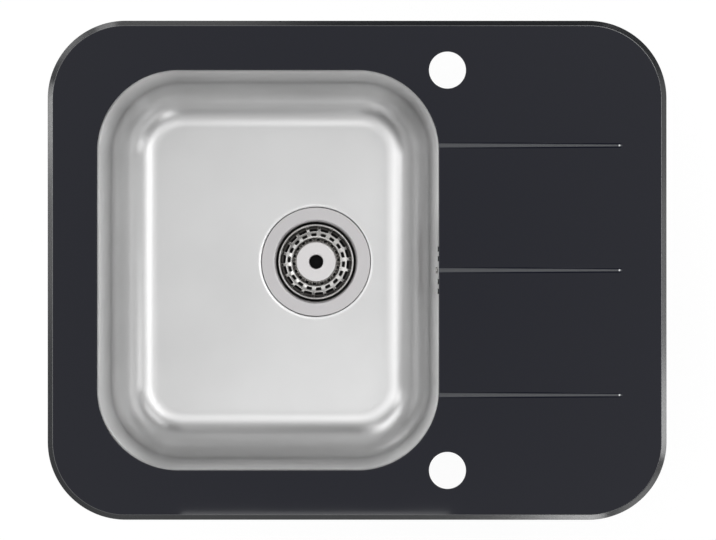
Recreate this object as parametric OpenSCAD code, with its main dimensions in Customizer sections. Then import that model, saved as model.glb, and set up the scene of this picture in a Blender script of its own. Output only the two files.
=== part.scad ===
// Glass kitchen sink with a bonded steel bowl, a grooved drainer and a basket strainer waste.
// Millimetres. The origin is the centre of the worktop seat plane, +Z up, +X to the drainer, +Y back.

/* [Bowl] */
// Inside width of the bowl opening, left to right
bowl_w = 340; // [300:1:450]
// Inside depth of the bowl opening, front to back
bowl_d = 398.5; // [360:0.5:450]
// Height from the bowl flange down to the bowl floor
bowl_h = 180; // [150:1:220]
// Thickness of the bowl sheet
bowl_t = 0.8; // [0.6:0.1:1.2]
// Radius of the bowl corners at the opening
bowl_corner_r = 80; // [70:1:100]
// Slope of the bowl walls, in degrees
bowl_draft = 2.5; // [1:0.1:3]
// Inside radius between the walls and the floor
floor_r = 48; // [35:1:55]
// Radius of the rolled edge between flange and wall
lip_r = 6; // [4:0.5:8]
// Width of the bonding flange, from the bowl opening outwards
flange_w = 20; // [16:0.5:24]

/* [Glass top] */
// Thickness of the glass
glass_t = 6; // [5:0.5:10]
// Radius of the glass corners
glass_corner_r = 78; // [50:1:90]
// Width of the polished bevel, seen from above
bevel_w = 5; // [2:0.1:8]
// Drop of the bevel at the glass edge
bevel_h = 1.8; // [0.8:0.1:3]
// Ground chamfer on the other glass edges
arris = 0.6; // [0.3:0.1:1]
// Rolled steel edge that shows inside the glass cut-out
cutout_reveal = 1.8; // [0.5:0.1:3]
// Width of the glass from the bowl opening to its right edge
drainer_w = 229.25; // [200:0.25:400]
// Width of the glass that rests on the worktop
overlap = 10; // [8:0.5:15]

/* [Drainer grooves] */
// Number of grooves
groove_count = 3; // [1:2:5]
// Distance between grooves
groove_pitch = 125; // [60:1:140]
// Radius of the grinding wheel that cuts a groove
groove_r = 6; // [4:0.5:10]
// Groove depth at its tip
groove_tip_depth = 0.45; // [0.2:0.05:1]
// Groove depth where it runs into the bowl
groove_bowl_depth = 0.95; // [0.5:0.05:1.5]
// Distance from the groove tip to the right glass edge
groove_tip_gap = 44.5; // [30:0.5:80]

/* [Tap holes] */
// Diameter of each tap hole
tap_hole_d = 37; // [33:0.5:40]
// Distance from the bowl opening to the centre line of the tap holes
tap_from_bowl = 9.75; // [8:0.25:30]
// Distance from the front or back glass edge to a tap hole's centre
tap_from_edge = 49.5; // [45:0.5:55]

/* [Seals and bonds] */
// Thickness of the sealing strip under the glass edge
seal_t = 2; // [1:0.1:4]
// Width of the sealing strip
seal_w = 8; // [5:0.5:10]
// Distance from the glass edge to the sealing strip
seal_inset = 1.5; // [0.5:0.1:3]
// Thickness of the adhesive under the glass
bond_t = 1; // [0.5:0.1:1.5]
// Width of the adhesive bead between bowl flange and glass
bond_w = 11; // [8:0.5:14]
// Thickness of the sound pad under the bowl floor
pad_t = 2; // [1:0.1:4]
// Width of the sound pad, left to right
pad_w = 85; // [50:1:110]
// Length of the sound pad, front to back
pad_l = 200; // [100:1:240]
// Gap between the sound pad and the drain recess
pad_gap = 9; // [5:0.5:20]

/* [Fixing rails and clips] */
// Outside width of a rail
rail_w = 14; // [13:0.5:20]
// Thickness of the rail sheet
rail_t = 1.2; // [1:0.1:1.5]
// Width of the slot between the rail lips
rail_slot = 6; // [5.5:0.1:8]
// Gap between the bowl flange and a rail
rail_gap = 1.5; // [1:0.25:5]
// Gap between the worktop's cut edge and a rail
rail_clear = 5.25; // [3:0.25:10]
// Distance from the glass edge to a rail's end
rail_start = 95; // [80:1:120]
// Distance from a tap hole's centre to a rail's end
tap_clear = 50; // [40:1:60]
// Distance from a rail's end to its clip
clip_from_end = 45; // [40:1:60]
// Thickest worktop that the clips take
worktop_t = 40; // [36:1:50]
// Travel of a clip as its screw is turned
clip_travel = 12; // [6:0.5:16]
// Diameter of the clip screws
clip_screw_d = 5; // [4:0.5:5]
// Reach of a clip arm from its screw to its toe
clip_reach = 32; // [26:1:38]
// Width of a clip arm
clip_w = 14; // [12:0.5:18]
// Thickness of a clip arm
clip_t = 2; // [1.5:0.1:3]
// Height of the toe above the arm
toe_h = 4; // [2:0.5:8]
// Thickness of a channel nut
nut_t = 5; // [4:0.5:6]

/* [Drain] */
// Distance from the bowl opening's right edge to the drain centre
drain_from_side = 123.5; // [118:0.25:160]
// Distance of the drain centre behind the bowl's centre line
drain_back = 8.8; // [-20:0.1:20]
// Diameter of the flat in the drain recess
recess_d = 116; // [116:0.5:120]
// Depth of the drain recess
recess_h = 2; // [1.5:0.1:3]
// Width of the sloped edge of the recess
recess_slope = 2; // [1:0.1:4]
// Diameter of the hole in the bowl floor
floor_hole_d = 90; // [89:0.5:92]
// Diameter of the strainer's steel flange
waste_flange_d = 114; // [110:0.5:114.5]
// Thickness of the strainer sheet
waste_t = 1; // [0.8:0.1:1.2]
// Diameter of the throat of the strainer
throat_d = 83; // [82:0.5:85]
// Radius of the strainer's rolled throat
throat_r = 3; // [2:0.5:4]
// Depth of the strainer dish
dish_h = 38; // [36:0.5:45]
// Diameter of the outlet hole in the dish
dish_hole_d = 52; // [46:0.5:54]
// Thickness of the gasket under the strainer flange
flange_gasket_t = 1; // [0.8:0.1:2]
// Thickness of the rubber washer under the bowl floor
floor_washer_t = 3; // [2:0.1:4]
// Diameter of the clamping bolt
bolt_d = 6; // [5:0.5:6]

/* [Basket] */
// Outside diameter of the basket rim
basket_d = 79; // [76:0.5:80]
// Radius of the rolled bead on the rim
bead_r = 1.2; // [0.8:0.1:1.5]
// Depth of the rim below the strainer flange
rim_drop = 4; // [3:0.5:6]
// Depth of the basket floor below the strainer flange
basket_h = 30; // [28:0.5:31]
// Thickness of the basket sheet
basket_t = 0.7; // [0.5:0.1:0.9]
// Slots in each row
slots_per_row = 18; // [12:1:18]
// Diameter of the crown in the middle
crown_d = 42; // [36:0.5:42]
// Depth of the crown's top below the strainer flange
crown_drop = 15; // [12:0.5:18]
// Diameter of the finger hole in the crown
finger_hole_d = 13.8; // [10:0.2:16]
// Height to which the basket's plug seal stands
plug_seal_t = 4.5; // [4:0.1:5]
// Diameter of the plug seal
plug_seal_d = 69; // [60:0.5:69]

/* [Waste body] */
// Inside diameter of the plastic cup
cup_d = 92; // [91:0.5:96]
// Wall of the plastic cup
cup_wall = 3; // [2:0.1:4]
// Gap between the steel dish and the cup's floor
cup_gap = 4; // [3:0.5:8]
// Outside diameter of the outlet's thread
outlet_d = 47.8; // [47:0.1:48.5]
// Inside diameter of the outlet
outlet_bore = 41; // [38:0.5:42]
// Length of the outlet below the cup
outlet_h = 26; // [22:1:40]

/* [Overflow] */
// Slots in the bowl wall, half on each side of the screw
overflow_slots = 4; // [2:2:4]
// Distance between slots
overflow_pitch = 9.7; // [9:0.1:11]
// Distance from the screw to the first slot
overflow_first = 11.5; // [10:0.1:13]
// Width of a slot
overflow_slot_w = 5.6; // [4:0.1:6]
// Height of a slot
overflow_slot_h = 11; // [8:0.5:14]
// Radius of a slot's corners
overflow_slot_r = 1.2; // [0.8:0.1:2]
// Depth of a slot's top below the bowl flange
overflow_drop = 2.4; // [2:0.1:4]
// Distance from the bowl wall to the hose's axis
hose_out = 18; // [17:0.5:24]
// Outside diameter of the hose over its ribs
hose_d = 24; // [22:0.5:25]
// Diameter of the hose bore
hose_bore = 15.2; // [12:0.2:16]
// Distance between hose ribs
rib_pitch = 5; // [4:0.5:8]
// Radius of the hose's bend
hose_bend_r = 45; // [40:1:50]
// Outside diameter of the hose spigots
spigot_d = 22; // [21:0.5:23]
// Length of the hose spigots
spigot_l = 20; // [18:1:24]

/* [Hidden] */
$fn = 64;
EPS = 0.01;
BIG = 1000;
LIP_STEPS = 8;
FILLET_STEPS = 18;
HOSE_SIDES = 8;

// Running and seating clearances
fit_gap = 0.08;
slide_gap = 0.3;
seat_gap = 0.15;

// Glass outline, and the bowl's place in it
land = flange_w + rail_gap + rail_w + rail_clear + overlap;
glass_w = land + bowl_w + drainer_w;
glass_d = bowl_d + 2 * land;
bowl_x = land + bowl_w / 2 - glass_w / 2;
bowl_right = bowl_x + bowl_w / 2;
tap_x = bowl_right + tap_from_bowl;
tap_y = glass_d / 2 - tap_from_edge;

// Heights, from the worktop seat at zero
glass_z0 = seal_t;
glass_z1 = glass_z0 + glass_t;
flange_z1 = glass_z0 - bond_t;
flange_z0 = flange_z1 - bowl_t;
floor_z1 = flange_z1 - bowl_h;
floor_z0 = floor_z1 - bowl_t;
recess_z1 = floor_z1 - recess_h;
recess_z0 = recess_z1 - bowl_t;

// Bowl section, with r measured outwards from a corner's centre
corner_x = bowl_w / 2 - bowl_corner_r;
corner_y = bowl_d / 2 - bowl_corner_r;
into_bowl = [-cos(bowl_draft), sin(bowl_draft)];
lip_c = [bowl_corner_r + lip_r, flange_z1 - lip_r];
wall_top = lip_c + lip_r * into_bowl;
fillet_z = floor_z1 + floor_r;
fillet_x = wall_top[0] - (floor_r - (fillet_z - wall_top[1]) * sin(bowl_draft)) / cos(bowl_draft);
fillet_c = [fillet_x, fillet_z];
wall_foot = fillet_c - floor_r * into_bowl;

// Drain axis and the levels of the strainer and the waste body
drain_x = bowl_right - drain_from_side;
drain_y = drain_back;
waste_z1 = recess_z1 + flange_gasket_t + waste_t;
dish_z = waste_z1 - dish_h;
throat = throat_d / 2;
dish_foot_r = throat - 2;
dish_fillet = 5;
spider_t = 2;
spider_w = 8;
spider_boss_r = 9;
body_z1 = recess_z0 - floor_washer_t;
body_rim_r = waste_flange_d / 2;
body_rim_t = 4;
cup_r = cup_d / 2;
cup_z = dish_z - spider_t - cup_gap;
cone_h = 10;
outlet_z1 = cup_z - cone_h;
outlet_z0 = outlet_z1 - outlet_h;
boss_r = 7.5;
boss_h = 16;
boss_z1 = outlet_z1;
insert_r = 5;
insert_h = 8;

// Basket levels and radii
basket_z = waste_z1 - basket_h;
rim_z = waste_z1 - rim_drop;
rim_r = basket_d / 2 - bead_r;
basket_foot_r = rim_r - 2.4;
crown_z = waste_z1 - crown_drop;
crown_t = 0.8;
crown_edge_r = 1.6;
crown_skirt = 2;
crown_lip_r = 1.5;
// The slotted ring is a shallow dish; it meets the shoulder at ring_slope and rises inside to a centre
shoulder_r = 3.2;
ring_dish_r = 39;
ring_slope = 20;
ring_c = [basket_foot_r - shoulder_r - (ring_dish_r - shoulder_r) * sin(ring_slope), basket_z + ring_dish_r];
shoulder_c = ring_c + (ring_dish_r - shoulder_r) * [sin(ring_slope), -cos(ring_slope)];
ring_in_r = crown_d / 2 + 4.2;
ring_in_slope = asin((ring_in_r - ring_c[0]) / ring_dish_r);
centre_r = crown_d / 2 - 0.7;
centre_z = crown_z - crown_edge_r - crown_skirt - 1;
slot_lead = 5;
inner_slot_r = crown_d / 2 + 2.3;
middle_slot_r = ring_in_r + 3.2;
outer_slot_r = middle_slot_r + 3.8;
hub_r = 12;
hub_collar_r = 16;
hub_socket_r = 8.5;
hub_socket_h = 7;
hub_web = 2;
bolt_head_r = 6.2;
bolt_head_h = 3.5;
bolt_slot_w = 1.6;

// Rails and clips
rail_edge = overlap + rail_clear + rail_w / 2;
screw_tip = 1.5;
tip_gap = 1.1;
rail_h = 2 * rail_t + nut_t + screw_tip + clip_travel + tip_gap;
rail_z1 = glass_z0 - bond_t;
rail_z0 = rail_z1 - rail_h;
rail_back_y = glass_d / 2 - rail_edge;
rail_side_x = glass_w / 2 - rail_edge;
rail_x0 = -glass_w / 2 + rail_start;
rail_x1 = tap_x - tap_clear;
rail_half_y = glass_d / 2 - rail_start;
nut_z0 = rail_z0 + rail_t;
toe_z1 = -worktop_t - 1;
arm_z1 = toe_z1 - toe_h;
arm_z0 = arm_z1 - clip_t;
arm_heel = 9;
toe_t = 3;
screw_head_r = 4.5;
screw_head_h = 3.5;
cross_slot_w = 1.2;
// Each clip's place and the direction of its folded arm: back, back, front, front, left, right
CLIPS = [
    [rail_x0 + clip_from_end, rail_back_y, 0], [rail_x1 - clip_from_end, rail_back_y, 180],
    [rail_x0 + clip_from_end, -rail_back_y, 0], [rail_x1 - clip_from_end, -rail_back_y, 180],
    [-rail_side_x, 0, 90], [rail_side_x, 0, 90]
];

// Overflow behind the right-hand wall
over_x0 = bowl_right + bowl_t + 2.5;
over_wall = 2;
over_half = overflow_first + (overflow_slots / 2 - 1) * overflow_pitch + overflow_slot_w / 2 + 2;
over_bar = 3;
over_top = flange_z1 - overflow_drop;
over_low = over_top - overflow_slot_h - 2;
over_mid = over_top - overflow_slot_h / 2;
hose_x = bowl_right + hose_out;
over_x1 = hose_x + spigot_d / 2;
over_boss_r = 4;
over_screw_r = 2;
spigot_r = spigot_d / 2;
spigot_bore = hose_bore / 2 + 0.4;
spigot_z0 = over_low - over_bar - spigot_l;
washer_t = 1;
nut_grip = 9;
nut_lip = 2.5;
collar_l = 2.5;
nut_r = spigot_r + 3.5;

// Hose route in the upright plane through the drain axis and the overflow spigot
hose_run = norm([hose_x - drain_x, -drain_y]);
hose_turn = atan2(-drain_y, hose_x - drain_x);
low_z = dish_z + 13;
low_x = cup_r + cup_wall + spigot_l;
hose_start_z = spigot_z0 - washer_t;
hose_end_x = low_x + washer_t;
drop_l = hose_start_z - low_z - hose_bend_r;
bend_l = hose_bend_r * PI / 2;
side_l = hose_run - hose_bend_r - hose_end_x;
hose_l = drop_l + bend_l + side_l;

// A rectangle with round corners, flat
module round_rect(w, d, r) {
    square([w - 2 * r, d], center = true);
    square([w, d - 2 * r], center = true);
    for (x = [-1, 1], y = [-1, 1]) translate([x * (w / 2 - r), y * (d / 2 - r)]) circle(r);
}

// A flat ring that follows a rectangle with round corners
module round_ring(w, d, r, band, z0, z1) {
    translate([0, 0, z0]) linear_extrude(z1 - z0) difference() {
        round_rect(w, d, r);
        round_rect(w - 2 * band, d - 2 * band, r - band);
    }
}

// A section drawn as radius and height, carried round four corners and along the sides between
module around(cx, cy) {
    for (k = [0:3])
        translate([(k == 0 || k == 3 ? 1 : -1) * cx, (k < 2 ? 1 : -1) * cy, 0])
            rotate(90 * k) rotate_extrude(angle = 90) children();
    for (k = [0:3]) {
        odd = k % 2 == 1;
        rotate(90 * k) translate([odd ? cy : cx, 0, 0]) rotate([90, 0, 0])
            linear_extrude(2 * (odd ? cx : cy), center = true) children();
    }
}

// Points on an arc
function arc(c, r, a0, a1, n) =
    [for (i = [0:n]) c + r * [cos(a0 + (a1 - a0) * i / n), sin(a0 + (a1 - a0) * i / n)]];
// A line of points moved sideways by t, and the band between the two
function unit(v) = v / norm(v);
function side(p, q) = let (d = unit(q - p)) [-d[1], d[0]];
function moved(p, i, t) =
    let (n1 = side(p[max(i - 1, 0)], p[max(i, 1)]),
         last = len(p) - 1,
         n2 = side(p[min(i, last - 1)], p[min(i + 1, last)]),
         m = unit(n1 + n2))
    p[i] + m * t / (m * n1);
function band(p, t) = concat(p, [for (i = [len(p) - 1:-1:0]) moved(p, i, t)]);

module glass_top() {
    cx = glass_w / 2 - glass_corner_r;
    cy = glass_d / 2 - glass_corner_r;
    r = glass_corner_r;
    cut_r = bowl_corner_r + cutout_reveal;
    hole_r = tap_hole_d / 2;
    color([0.13, 0.14, 0.16]) difference() {
        union() {
            around(cx, cy) polygon([
                [0, glass_z0], [r - arris, glass_z0], [r, glass_z0 + arris],
                [r, glass_z1 - bevel_h], [r - bevel_w, glass_z1], [0, glass_z1]
            ]);
            translate([-cx, -cy, glass_z0]) cube([2 * cx, 2 * cy, glass_t]);
        }
        translate([bowl_x, 0, 0]) {
            around(corner_x, corner_y) polygon([
                [0, glass_z0 - 1], [cut_r, glass_z0 - 1], [cut_r, glass_z1 - arris],
                [cut_r + arris + 1, glass_z1 + 1], [0, glass_z1 + 1]
            ]);
            translate([-corner_x, -corner_y, glass_z0 - 1])
                cube([2 * corner_x, 2 * corner_y, glass_t + 2]);
        }
        for (y = [-tap_y, tap_y]) translate([tap_x, y, 0]) {
            translate([0, 0, glass_z0 - 1]) cylinder(r = hole_r, h = glass_t + 2);
            translate([0, 0, glass_z1 - arris]) cylinder(r1 = hole_r, r2 = hole_r + arris + 1, h = arris + 1);
            translate([0, 0, glass_z0 - 1]) cylinder(r1 = hole_r + arris + 1, r2 = hole_r, h = arris + 1);
        }
        for (i = [0:groove_count - 1]) translate([0, (i - (groove_count - 1) / 2) * groove_pitch, 0])
            drainer_groove();
    }
}

// The path of the grinding wheel: a tilted round bar with a ball at its tip
module drainer_groove() {
    tip_half = sqrt(groove_r ^ 2 - (groove_r - groove_tip_depth) ^ 2);
    x1 = glass_w / 2 - groove_tip_gap - tip_half;
    x0 = bowl_right;
    z1 = glass_z1 + groove_r - groove_tip_depth;
    tilt = atan2(groove_bowl_depth - groove_tip_depth, x1 - x0);
    translate([x1, 0, z1]) {
        sphere(groove_r);
        rotate([0, -90 - tilt, 0]) cylinder(r = groove_r, h = x1 - x0);
    }
}

module edge_seal() {
    color([0.2, 0.2, 0.2]) round_ring(glass_w - 2 * seal_inset, glass_d - 2 * seal_inset,
        glass_corner_r - seal_inset, seal_w, 0, glass_z0);
}

module bowl_bond() {
    edge = (flange_w - lip_r - bond_w) / 2;
    color([0.85, 0.85, 0.82]) translate([bowl_x, 0, 0]) round_ring(
        bowl_w + 2 * (flange_w - edge), bowl_d + 2 * (flange_w - edge),
        bowl_corner_r + flange_w - edge, bond_w, flange_z1, glass_z0);
}

// The bowl's section from the flange over the lip and down the wall to the floor, for one side
module bowl_section() {
    polygon(band(concat(
        [[bowl_corner_r + flange_w, flange_z1]],
        arc(lip_c, lip_r, 90, 180 - bowl_draft, LIP_STEPS),
        arc(fillet_c, floor_r, -bowl_draft, -90, FILLET_STEPS),
        [[0, floor_z1]]
    ), bowl_t));
}

module bowl() {
    top_r = recess_d / 2 + recess_slope;
    color([0.8, 0.8, 0.79]) {
        difference() {
            translate([bowl_x, 0, 0]) {
                around(corner_x, corner_y) bowl_section();
                translate([-corner_x, -corner_y, floor_z0]) cube([2 * corner_x, 2 * corner_y, bowl_t]);
            }
            translate([drain_x, drain_y, floor_z0 - 1]) cylinder(r = top_r, h = bowl_t + 2);
            overflow_cuts();
        }
        translate([drain_x, drain_y, 0]) rotate_extrude() polygon([
            [floor_hole_d / 2, recess_z0], [recess_d / 2, recess_z0], [top_r, floor_z0],
            [top_r, floor_z1], [recess_d / 2, recess_z1], [floor_hole_d / 2, recess_z1]
        ]);
    }
}

// Upright slots with rounded corners and the screw hole, through the right-hand wall
module overflow_cuts() {
    r = overflow_slot_r;
    straight_w = overflow_slot_w - 2 * r;
    straight_h = overflow_slot_h - 2 * r;
    x0 = bowl_right - 5;
    for (i = [0:overflow_slots / 2 - 1], s = [-1, 1])
        translate([x0, s * (overflow_first + i * overflow_pitch), over_mid]) {
            for (y = [-1, 1], z = [-1, 1]) translate([0, y * straight_w / 2, z * straight_h / 2])
                rotate([0, 90, 0]) cylinder(r = r, h = 12);
            translate([0, -overflow_slot_w / 2, -straight_h / 2]) cube([12, overflow_slot_w, straight_h]);
            translate([0, -straight_w / 2, -overflow_slot_h / 2]) cube([12, straight_w, overflow_slot_h]);
        }
    translate([x0, 0, over_mid]) rotate([0, 90, 0]) cylinder(r = over_screw_r + seat_gap, h = 12);
}

module sound_pad() {
    x1 = drain_x - recess_d / 2 - recess_slope - pad_gap;
    color([0.25, 0.24, 0.22]) translate([x1 - pad_w, -pad_l / 2, floor_z0 - pad_t])
        cube([pad_w, pad_l, pad_t]);
}

// A rail along X from x0 to x1: a channel open downwards between two lips
module rail(x0, x1) {
    h = rail_w / 2;
    lip = rail_slot / 2;
    color([0.7, 0.71, 0.72]) translate([x0, 0, 0]) rotate([90, 0, 90]) linear_extrude(x1 - x0) difference() {
        translate([-h, rail_z0]) square([rail_w, rail_h]);
        translate([-h + rail_t, rail_z0 + rail_t]) square([rail_w - 2 * rail_t, rail_h - 2 * rail_t]);
        translate([-lip, rail_z0 - 1]) square([rail_slot, rail_t + 2]);
    }
}

module rail_back() { translate([0, rail_back_y, 0]) rail(rail_x0, rail_x1); }
module rail_front() { translate([0, -rail_back_y, 0]) rail(rail_x0, rail_x1); }
module rail_left() { translate([-rail_side_x, 0, 0]) rotate(90) rail(-rail_half_y, rail_half_y); }
module rail_right() { translate([rail_side_x, 0, 0]) rotate(90) rail(-rail_half_y, rail_half_y); }

// Bonding tape between each rail and the glass
module rail_tapes() {
    w = rail_w - 2;
    color([0.85, 0.85, 0.82]) {
        for (y = [-rail_back_y, rail_back_y])
            translate([rail_x0 + 1, y - w / 2, rail_z1]) cube([rail_x1 - rail_x0 - 2, w, bond_t]);
        for (x = [-rail_side_x, rail_side_x])
            translate([x - w / 2, 1 - rail_half_y, rail_z1]) cube([w, 2 * rail_half_y - 2, bond_t]);
    }
}

// Threaded blocks that slide in the rails, one to a clip
module channel_nuts() {
    w = rail_w - 2 * rail_t - 2 * slide_gap;
    color([0.75, 0.7, 0.55]) for (c = CLIPS) translate([c[0], c[1], nut_z0]) rotate(c[2]) difference() {
        translate([-w / 2, -w / 2, 0]) cube([w, w, nut_t]);
        translate([0, 0, -1]) cylinder(d = clip_screw_d + 2 * fit_gap, h = nut_t + 2, $fn = 32);
    }
}

module clip_screw(i) {
    c = CLIPS[i];
    r = clip_screw_d / 2;
    head_z = arm_z0 - screw_head_h;
    tip_z = nut_z0 + nut_t + screw_tip;
    color([0.75, 0.76, 0.78]) translate([c[0], c[1], 0]) difference() {
        rotate_extrude($fn = 32) polygon([
            [0, head_z], [screw_head_r, head_z], [screw_head_r, arm_z0], [r, arm_z0], [r, tip_z], [0, tip_z]
        ]);
        for (a = [0, 90]) translate([0, 0, head_z - 1]) rotate(a)
            translate([-screw_head_r / 2, -cross_slot_w / 2, 0])
                cube([screw_head_r, cross_slot_w, screw_head_h / 2 + 1]);
    }
}

// A pressed arm: plate with a round heel, and a toe bent up at the far end
module clip_arm(i) {
    c = CLIPS[i];
    color([0.75, 0.76, 0.78]) translate([c[0], c[1], 0]) rotate(c[2]) difference() {
        union() {
            translate([0, 0, arm_z0]) cylinder(r = clip_w / 2, h = clip_t, $fn = 48);
            translate([0, -clip_w / 2, arm_z0]) cube([clip_reach, clip_w, clip_t]);
            translate([clip_reach - toe_t, -clip_w / 2, arm_z0]) cube([toe_t, clip_w, clip_t + toe_h]);
        }
        translate([0, 0, arm_z0 - 1]) cylinder(d = clip_screw_d + 2 * fit_gap, h = clip_t + 2, $fn = 32);
    }
}

// Steel dish of the strainer: flange, rolled throat, tapered wall, and a spider that takes the bolt
module strainer_dish() {
    r = throat;
    z = waste_z1;
    f = dish_fillet;
    path = concat(
        [[waste_flange_d / 2, z]],
        arc([r + throat_r, z - throat_r], throat_r, 90, 180, 6),
        arc([dish_foot_r - f, dish_z + f], f, 0, -90, 5),
        [[dish_hole_d / 2, dish_z]]
    );
    color([0.78, 0.76, 0.75]) translate([drain_x, drain_y, 0]) difference() {
        union() {
            rotate_extrude() polygon(band(path, waste_t));
            translate([0, 0, dish_z - waste_t - spider_t])
                cylinder(r = spider_boss_r, h = spider_t);
            for (a = [0:120:240]) rotate(a)
                translate([bolt_head_r + 1, -spider_w / 2, dish_z - waste_t - spider_t + EPS])
                    cube([dish_hole_d / 2 + 2 - bolt_head_r, spider_w, spider_t]);
        }
        translate([0, 0, dish_z - waste_t - spider_t - 1])
            cylinder(r = bolt_d / 2 + slide_gap, h = spider_t + 2);
    }
}

module flange_gasket() {
    color([0.15, 0.15, 0.15]) translate([drain_x, drain_y, recess_z1]) difference() {
        cylinder(r = waste_flange_d / 2 - 1, h = flange_gasket_t);
        translate([0, 0, -1]) cylinder(d = floor_hole_d + 1, h = flange_gasket_t + 2);
    }
}

module floor_washer() {
    color([0.15, 0.15, 0.15]) translate([drain_x, drain_y, body_z1]) difference() {
        cylinder(r = body_rim_r, h = floor_washer_t);
        translate([0, 0, -1]) cylinder(r = cup_r, h = floor_washer_t + 2);
    }
}

// Moulded cup under the bowl: rim, cup, cone, threaded outlet, bolt boss on ribs, overflow spigot
module waste_body() {
    ro = cup_r + cup_wall;
    tube_o = outlet_d / 2;
    tube_i = outlet_bore / 2;
    cone_z = cup_z - cup_wall;
    rib_t = 3;
    color([0.93, 0.93, 0.92]) translate([drain_x, drain_y, 0]) difference() {
        union() {
            difference() {
                union() {
                    rotate_extrude() polygon([
                        [0, body_z1], [body_rim_r, body_z1], [body_rim_r, body_z1 - body_rim_t],
                        [ro, body_z1 - body_rim_t], [ro, cone_z], [tube_o, cone_z - cone_h],
                        [tube_o, outlet_z0], [0, outlet_z0]
                    ]);
                    rotate(hose_turn) translate([0, 0, low_z]) rotate([0, 90, 0])
                        cylinder(r = spigot_r, h = low_x);
                }
                rotate_extrude() polygon([
                    [0, body_z1 + 1], [cup_r, body_z1 + 1], [cup_r, cup_z], [tube_i, outlet_z1],
                    [tube_i, outlet_z0 - 1], [0, outlet_z0 - 1]
                ]);
                rotate(hose_turn) translate([0, 0, low_z]) rotate([0, 90, 0])
                    cylinder(r = spigot_bore, h = low_x + 1);
            }
            translate([0, 0, boss_z1 - boss_h]) {
                cylinder(r = boss_r, h = boss_h);
                for (a = [60:120:300]) rotate(a)
                    translate([0, -rib_t / 2, 0]) cube([tube_i + 1, rib_t, boss_h - 2]);
            }
        }
        translate([0, 0, boss_z1 - boss_h - 1]) cylinder(r = bolt_d / 2 + slide_gap, h = boss_h + 2);
        translate([0, 0, boss_z1 - boss_h - 1]) cylinder(r = insert_r + seat_gap, h = insert_h + 1);
    }
}

module bolt_insert() {
    color([0.8, 0.65, 0.3]) translate([drain_x, drain_y, boss_z1 - boss_h]) difference() {
        cylinder(r = insert_r, h = insert_h);
        translate([0, 0, -1]) cylinder(r = bolt_d / 2 + fit_gap, h = insert_h + 2);
    }
}

module clamp_bolt() {
    z0 = boss_z1 - boss_h;
    z1 = dish_z - waste_t;
    z2 = z1 + bolt_head_h;
    color([0.8, 0.8, 0.8]) translate([drain_x, drain_y, 0]) difference() {
        rotate_extrude() polygon([
            [0, z0], [bolt_d / 2, z0], [bolt_d / 2, z1], [bolt_head_r, z1], [bolt_head_r, z2], [0, z2]
        ]);
        translate([-bolt_head_r - 1, -bolt_slot_w / 2, z1 + bolt_head_h / 2])
            cube([2 * bolt_head_r + 2, bolt_slot_w, bolt_head_h]);
    }
}

// The basket's sheet: rolled rim, wall, shoulder, slotted ring, and the rise to the centre under the crown
module basket_shell() {
    path = concat(
        [[rim_r, rim_z - bead_r]],
        arc(shoulder_c, shoulder_r, 0, ring_slope - 90, 5),
        arc(ring_c, ring_dish_r, ring_slope - 94, ring_in_slope - 90, 3),
        [[centre_r, centre_z], [hub_r + seat_gap, centre_z]]
    );
    rotate_extrude() polygon(band(path, basket_t));
    translate([0, 0, rim_z - bead_r]) rotate_extrude()
        translate([rim_r, 0]) circle(bead_r, $fn = 24);
}

// Three rows of slots: squares in the rise, short slots in the ring, and long ones over the shoulder
module basket() {
    step = 360 / slots_per_row;
    rows = [
        // inner radius, outer radius, width, height of the cut, turn
        [inner_slot_r - 1.4, inner_slot_r + 1.4, 3, centre_z - basket_z + 1, 0],
        [middle_slot_r - 1.3, middle_slot_r + 1.3, 5, ring_dish_r / 8, step / 2],
        [outer_slot_r, basket_foot_r + 4, 8, basket_h / 3, step / 2]
    ];
    color([0.7, 0.69, 0.68]) translate([drain_x, drain_y, 0]) difference() {
        basket_shell();
        for (row = rows, k = [0:slots_per_row - 1]) rotate(slot_lead + row[4] + k * step)
            translate([row[0], -row[2] / 2, basket_z - 2]) cube([row[1] - row[0], row[2], row[3] + 2]);
    }
}

// Pressed crown with a turned-down edge and a rolled finger hole
module basket_crown() {
    e = crown_edge_r;
    path = concat(
        arc([crown_d / 2 - e, crown_z - e], e, 0, 90, 5),
        arc([finger_hole_d / 2 + crown_lip_r, crown_z - crown_lip_r], crown_lip_r, 90, 180, 4)
    );
    color([0.85, 0.84, 0.83]) translate([drain_x, drain_y, 0])
        rotate_extrude() polygon(band(concat([[crown_d / 2, crown_z - e - crown_skirt]], path), crown_t));
}

// Moulded hub that joins crown, basket and plug seal, hollow above and below
module basket_hub() {
    z0 = dish_z;
    z1 = crown_z - crown_t;
    collar_z = centre_z - basket_t;
    color([0.1, 0.1, 0.1]) translate([drain_x, drain_y, 0]) difference() {
        union() {
            translate([0, 0, z0]) cylinder(r = hub_r, h = z1 - z0);
            translate([0, 0, z0 + plug_seal_t]) cylinder(r = hub_collar_r, h = collar_z - z0 - plug_seal_t);
        }
        translate([0, 0, z0 - 1]) cylinder(r = hub_socket_r, h = hub_socket_h + 1);
        translate([0, 0, z0 + hub_socket_h + hub_web])
            cylinder(r = finger_hole_d / 2 + crown_lip_r + slide_gap, h = BIG);
    }
}

// Rubber plug under the basket; its lip lifts a little where the dish's foot begins
module plug_seal() {
    r = plug_seal_d / 2;
    lip_w = 3;
    lip_lift = 0.6;
    lip_t = 1;
    color([0.12, 0.12, 0.12]) translate([drain_x, drain_y, dish_z]) rotate_extrude() polygon([
        [hub_r, 0], [r - lip_w, 0], [r, lip_lift], [r, lip_lift + lip_t],
        [hub_collar_r + 2, plug_seal_t], [hub_r, plug_seal_t]
    ]);
}

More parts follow.
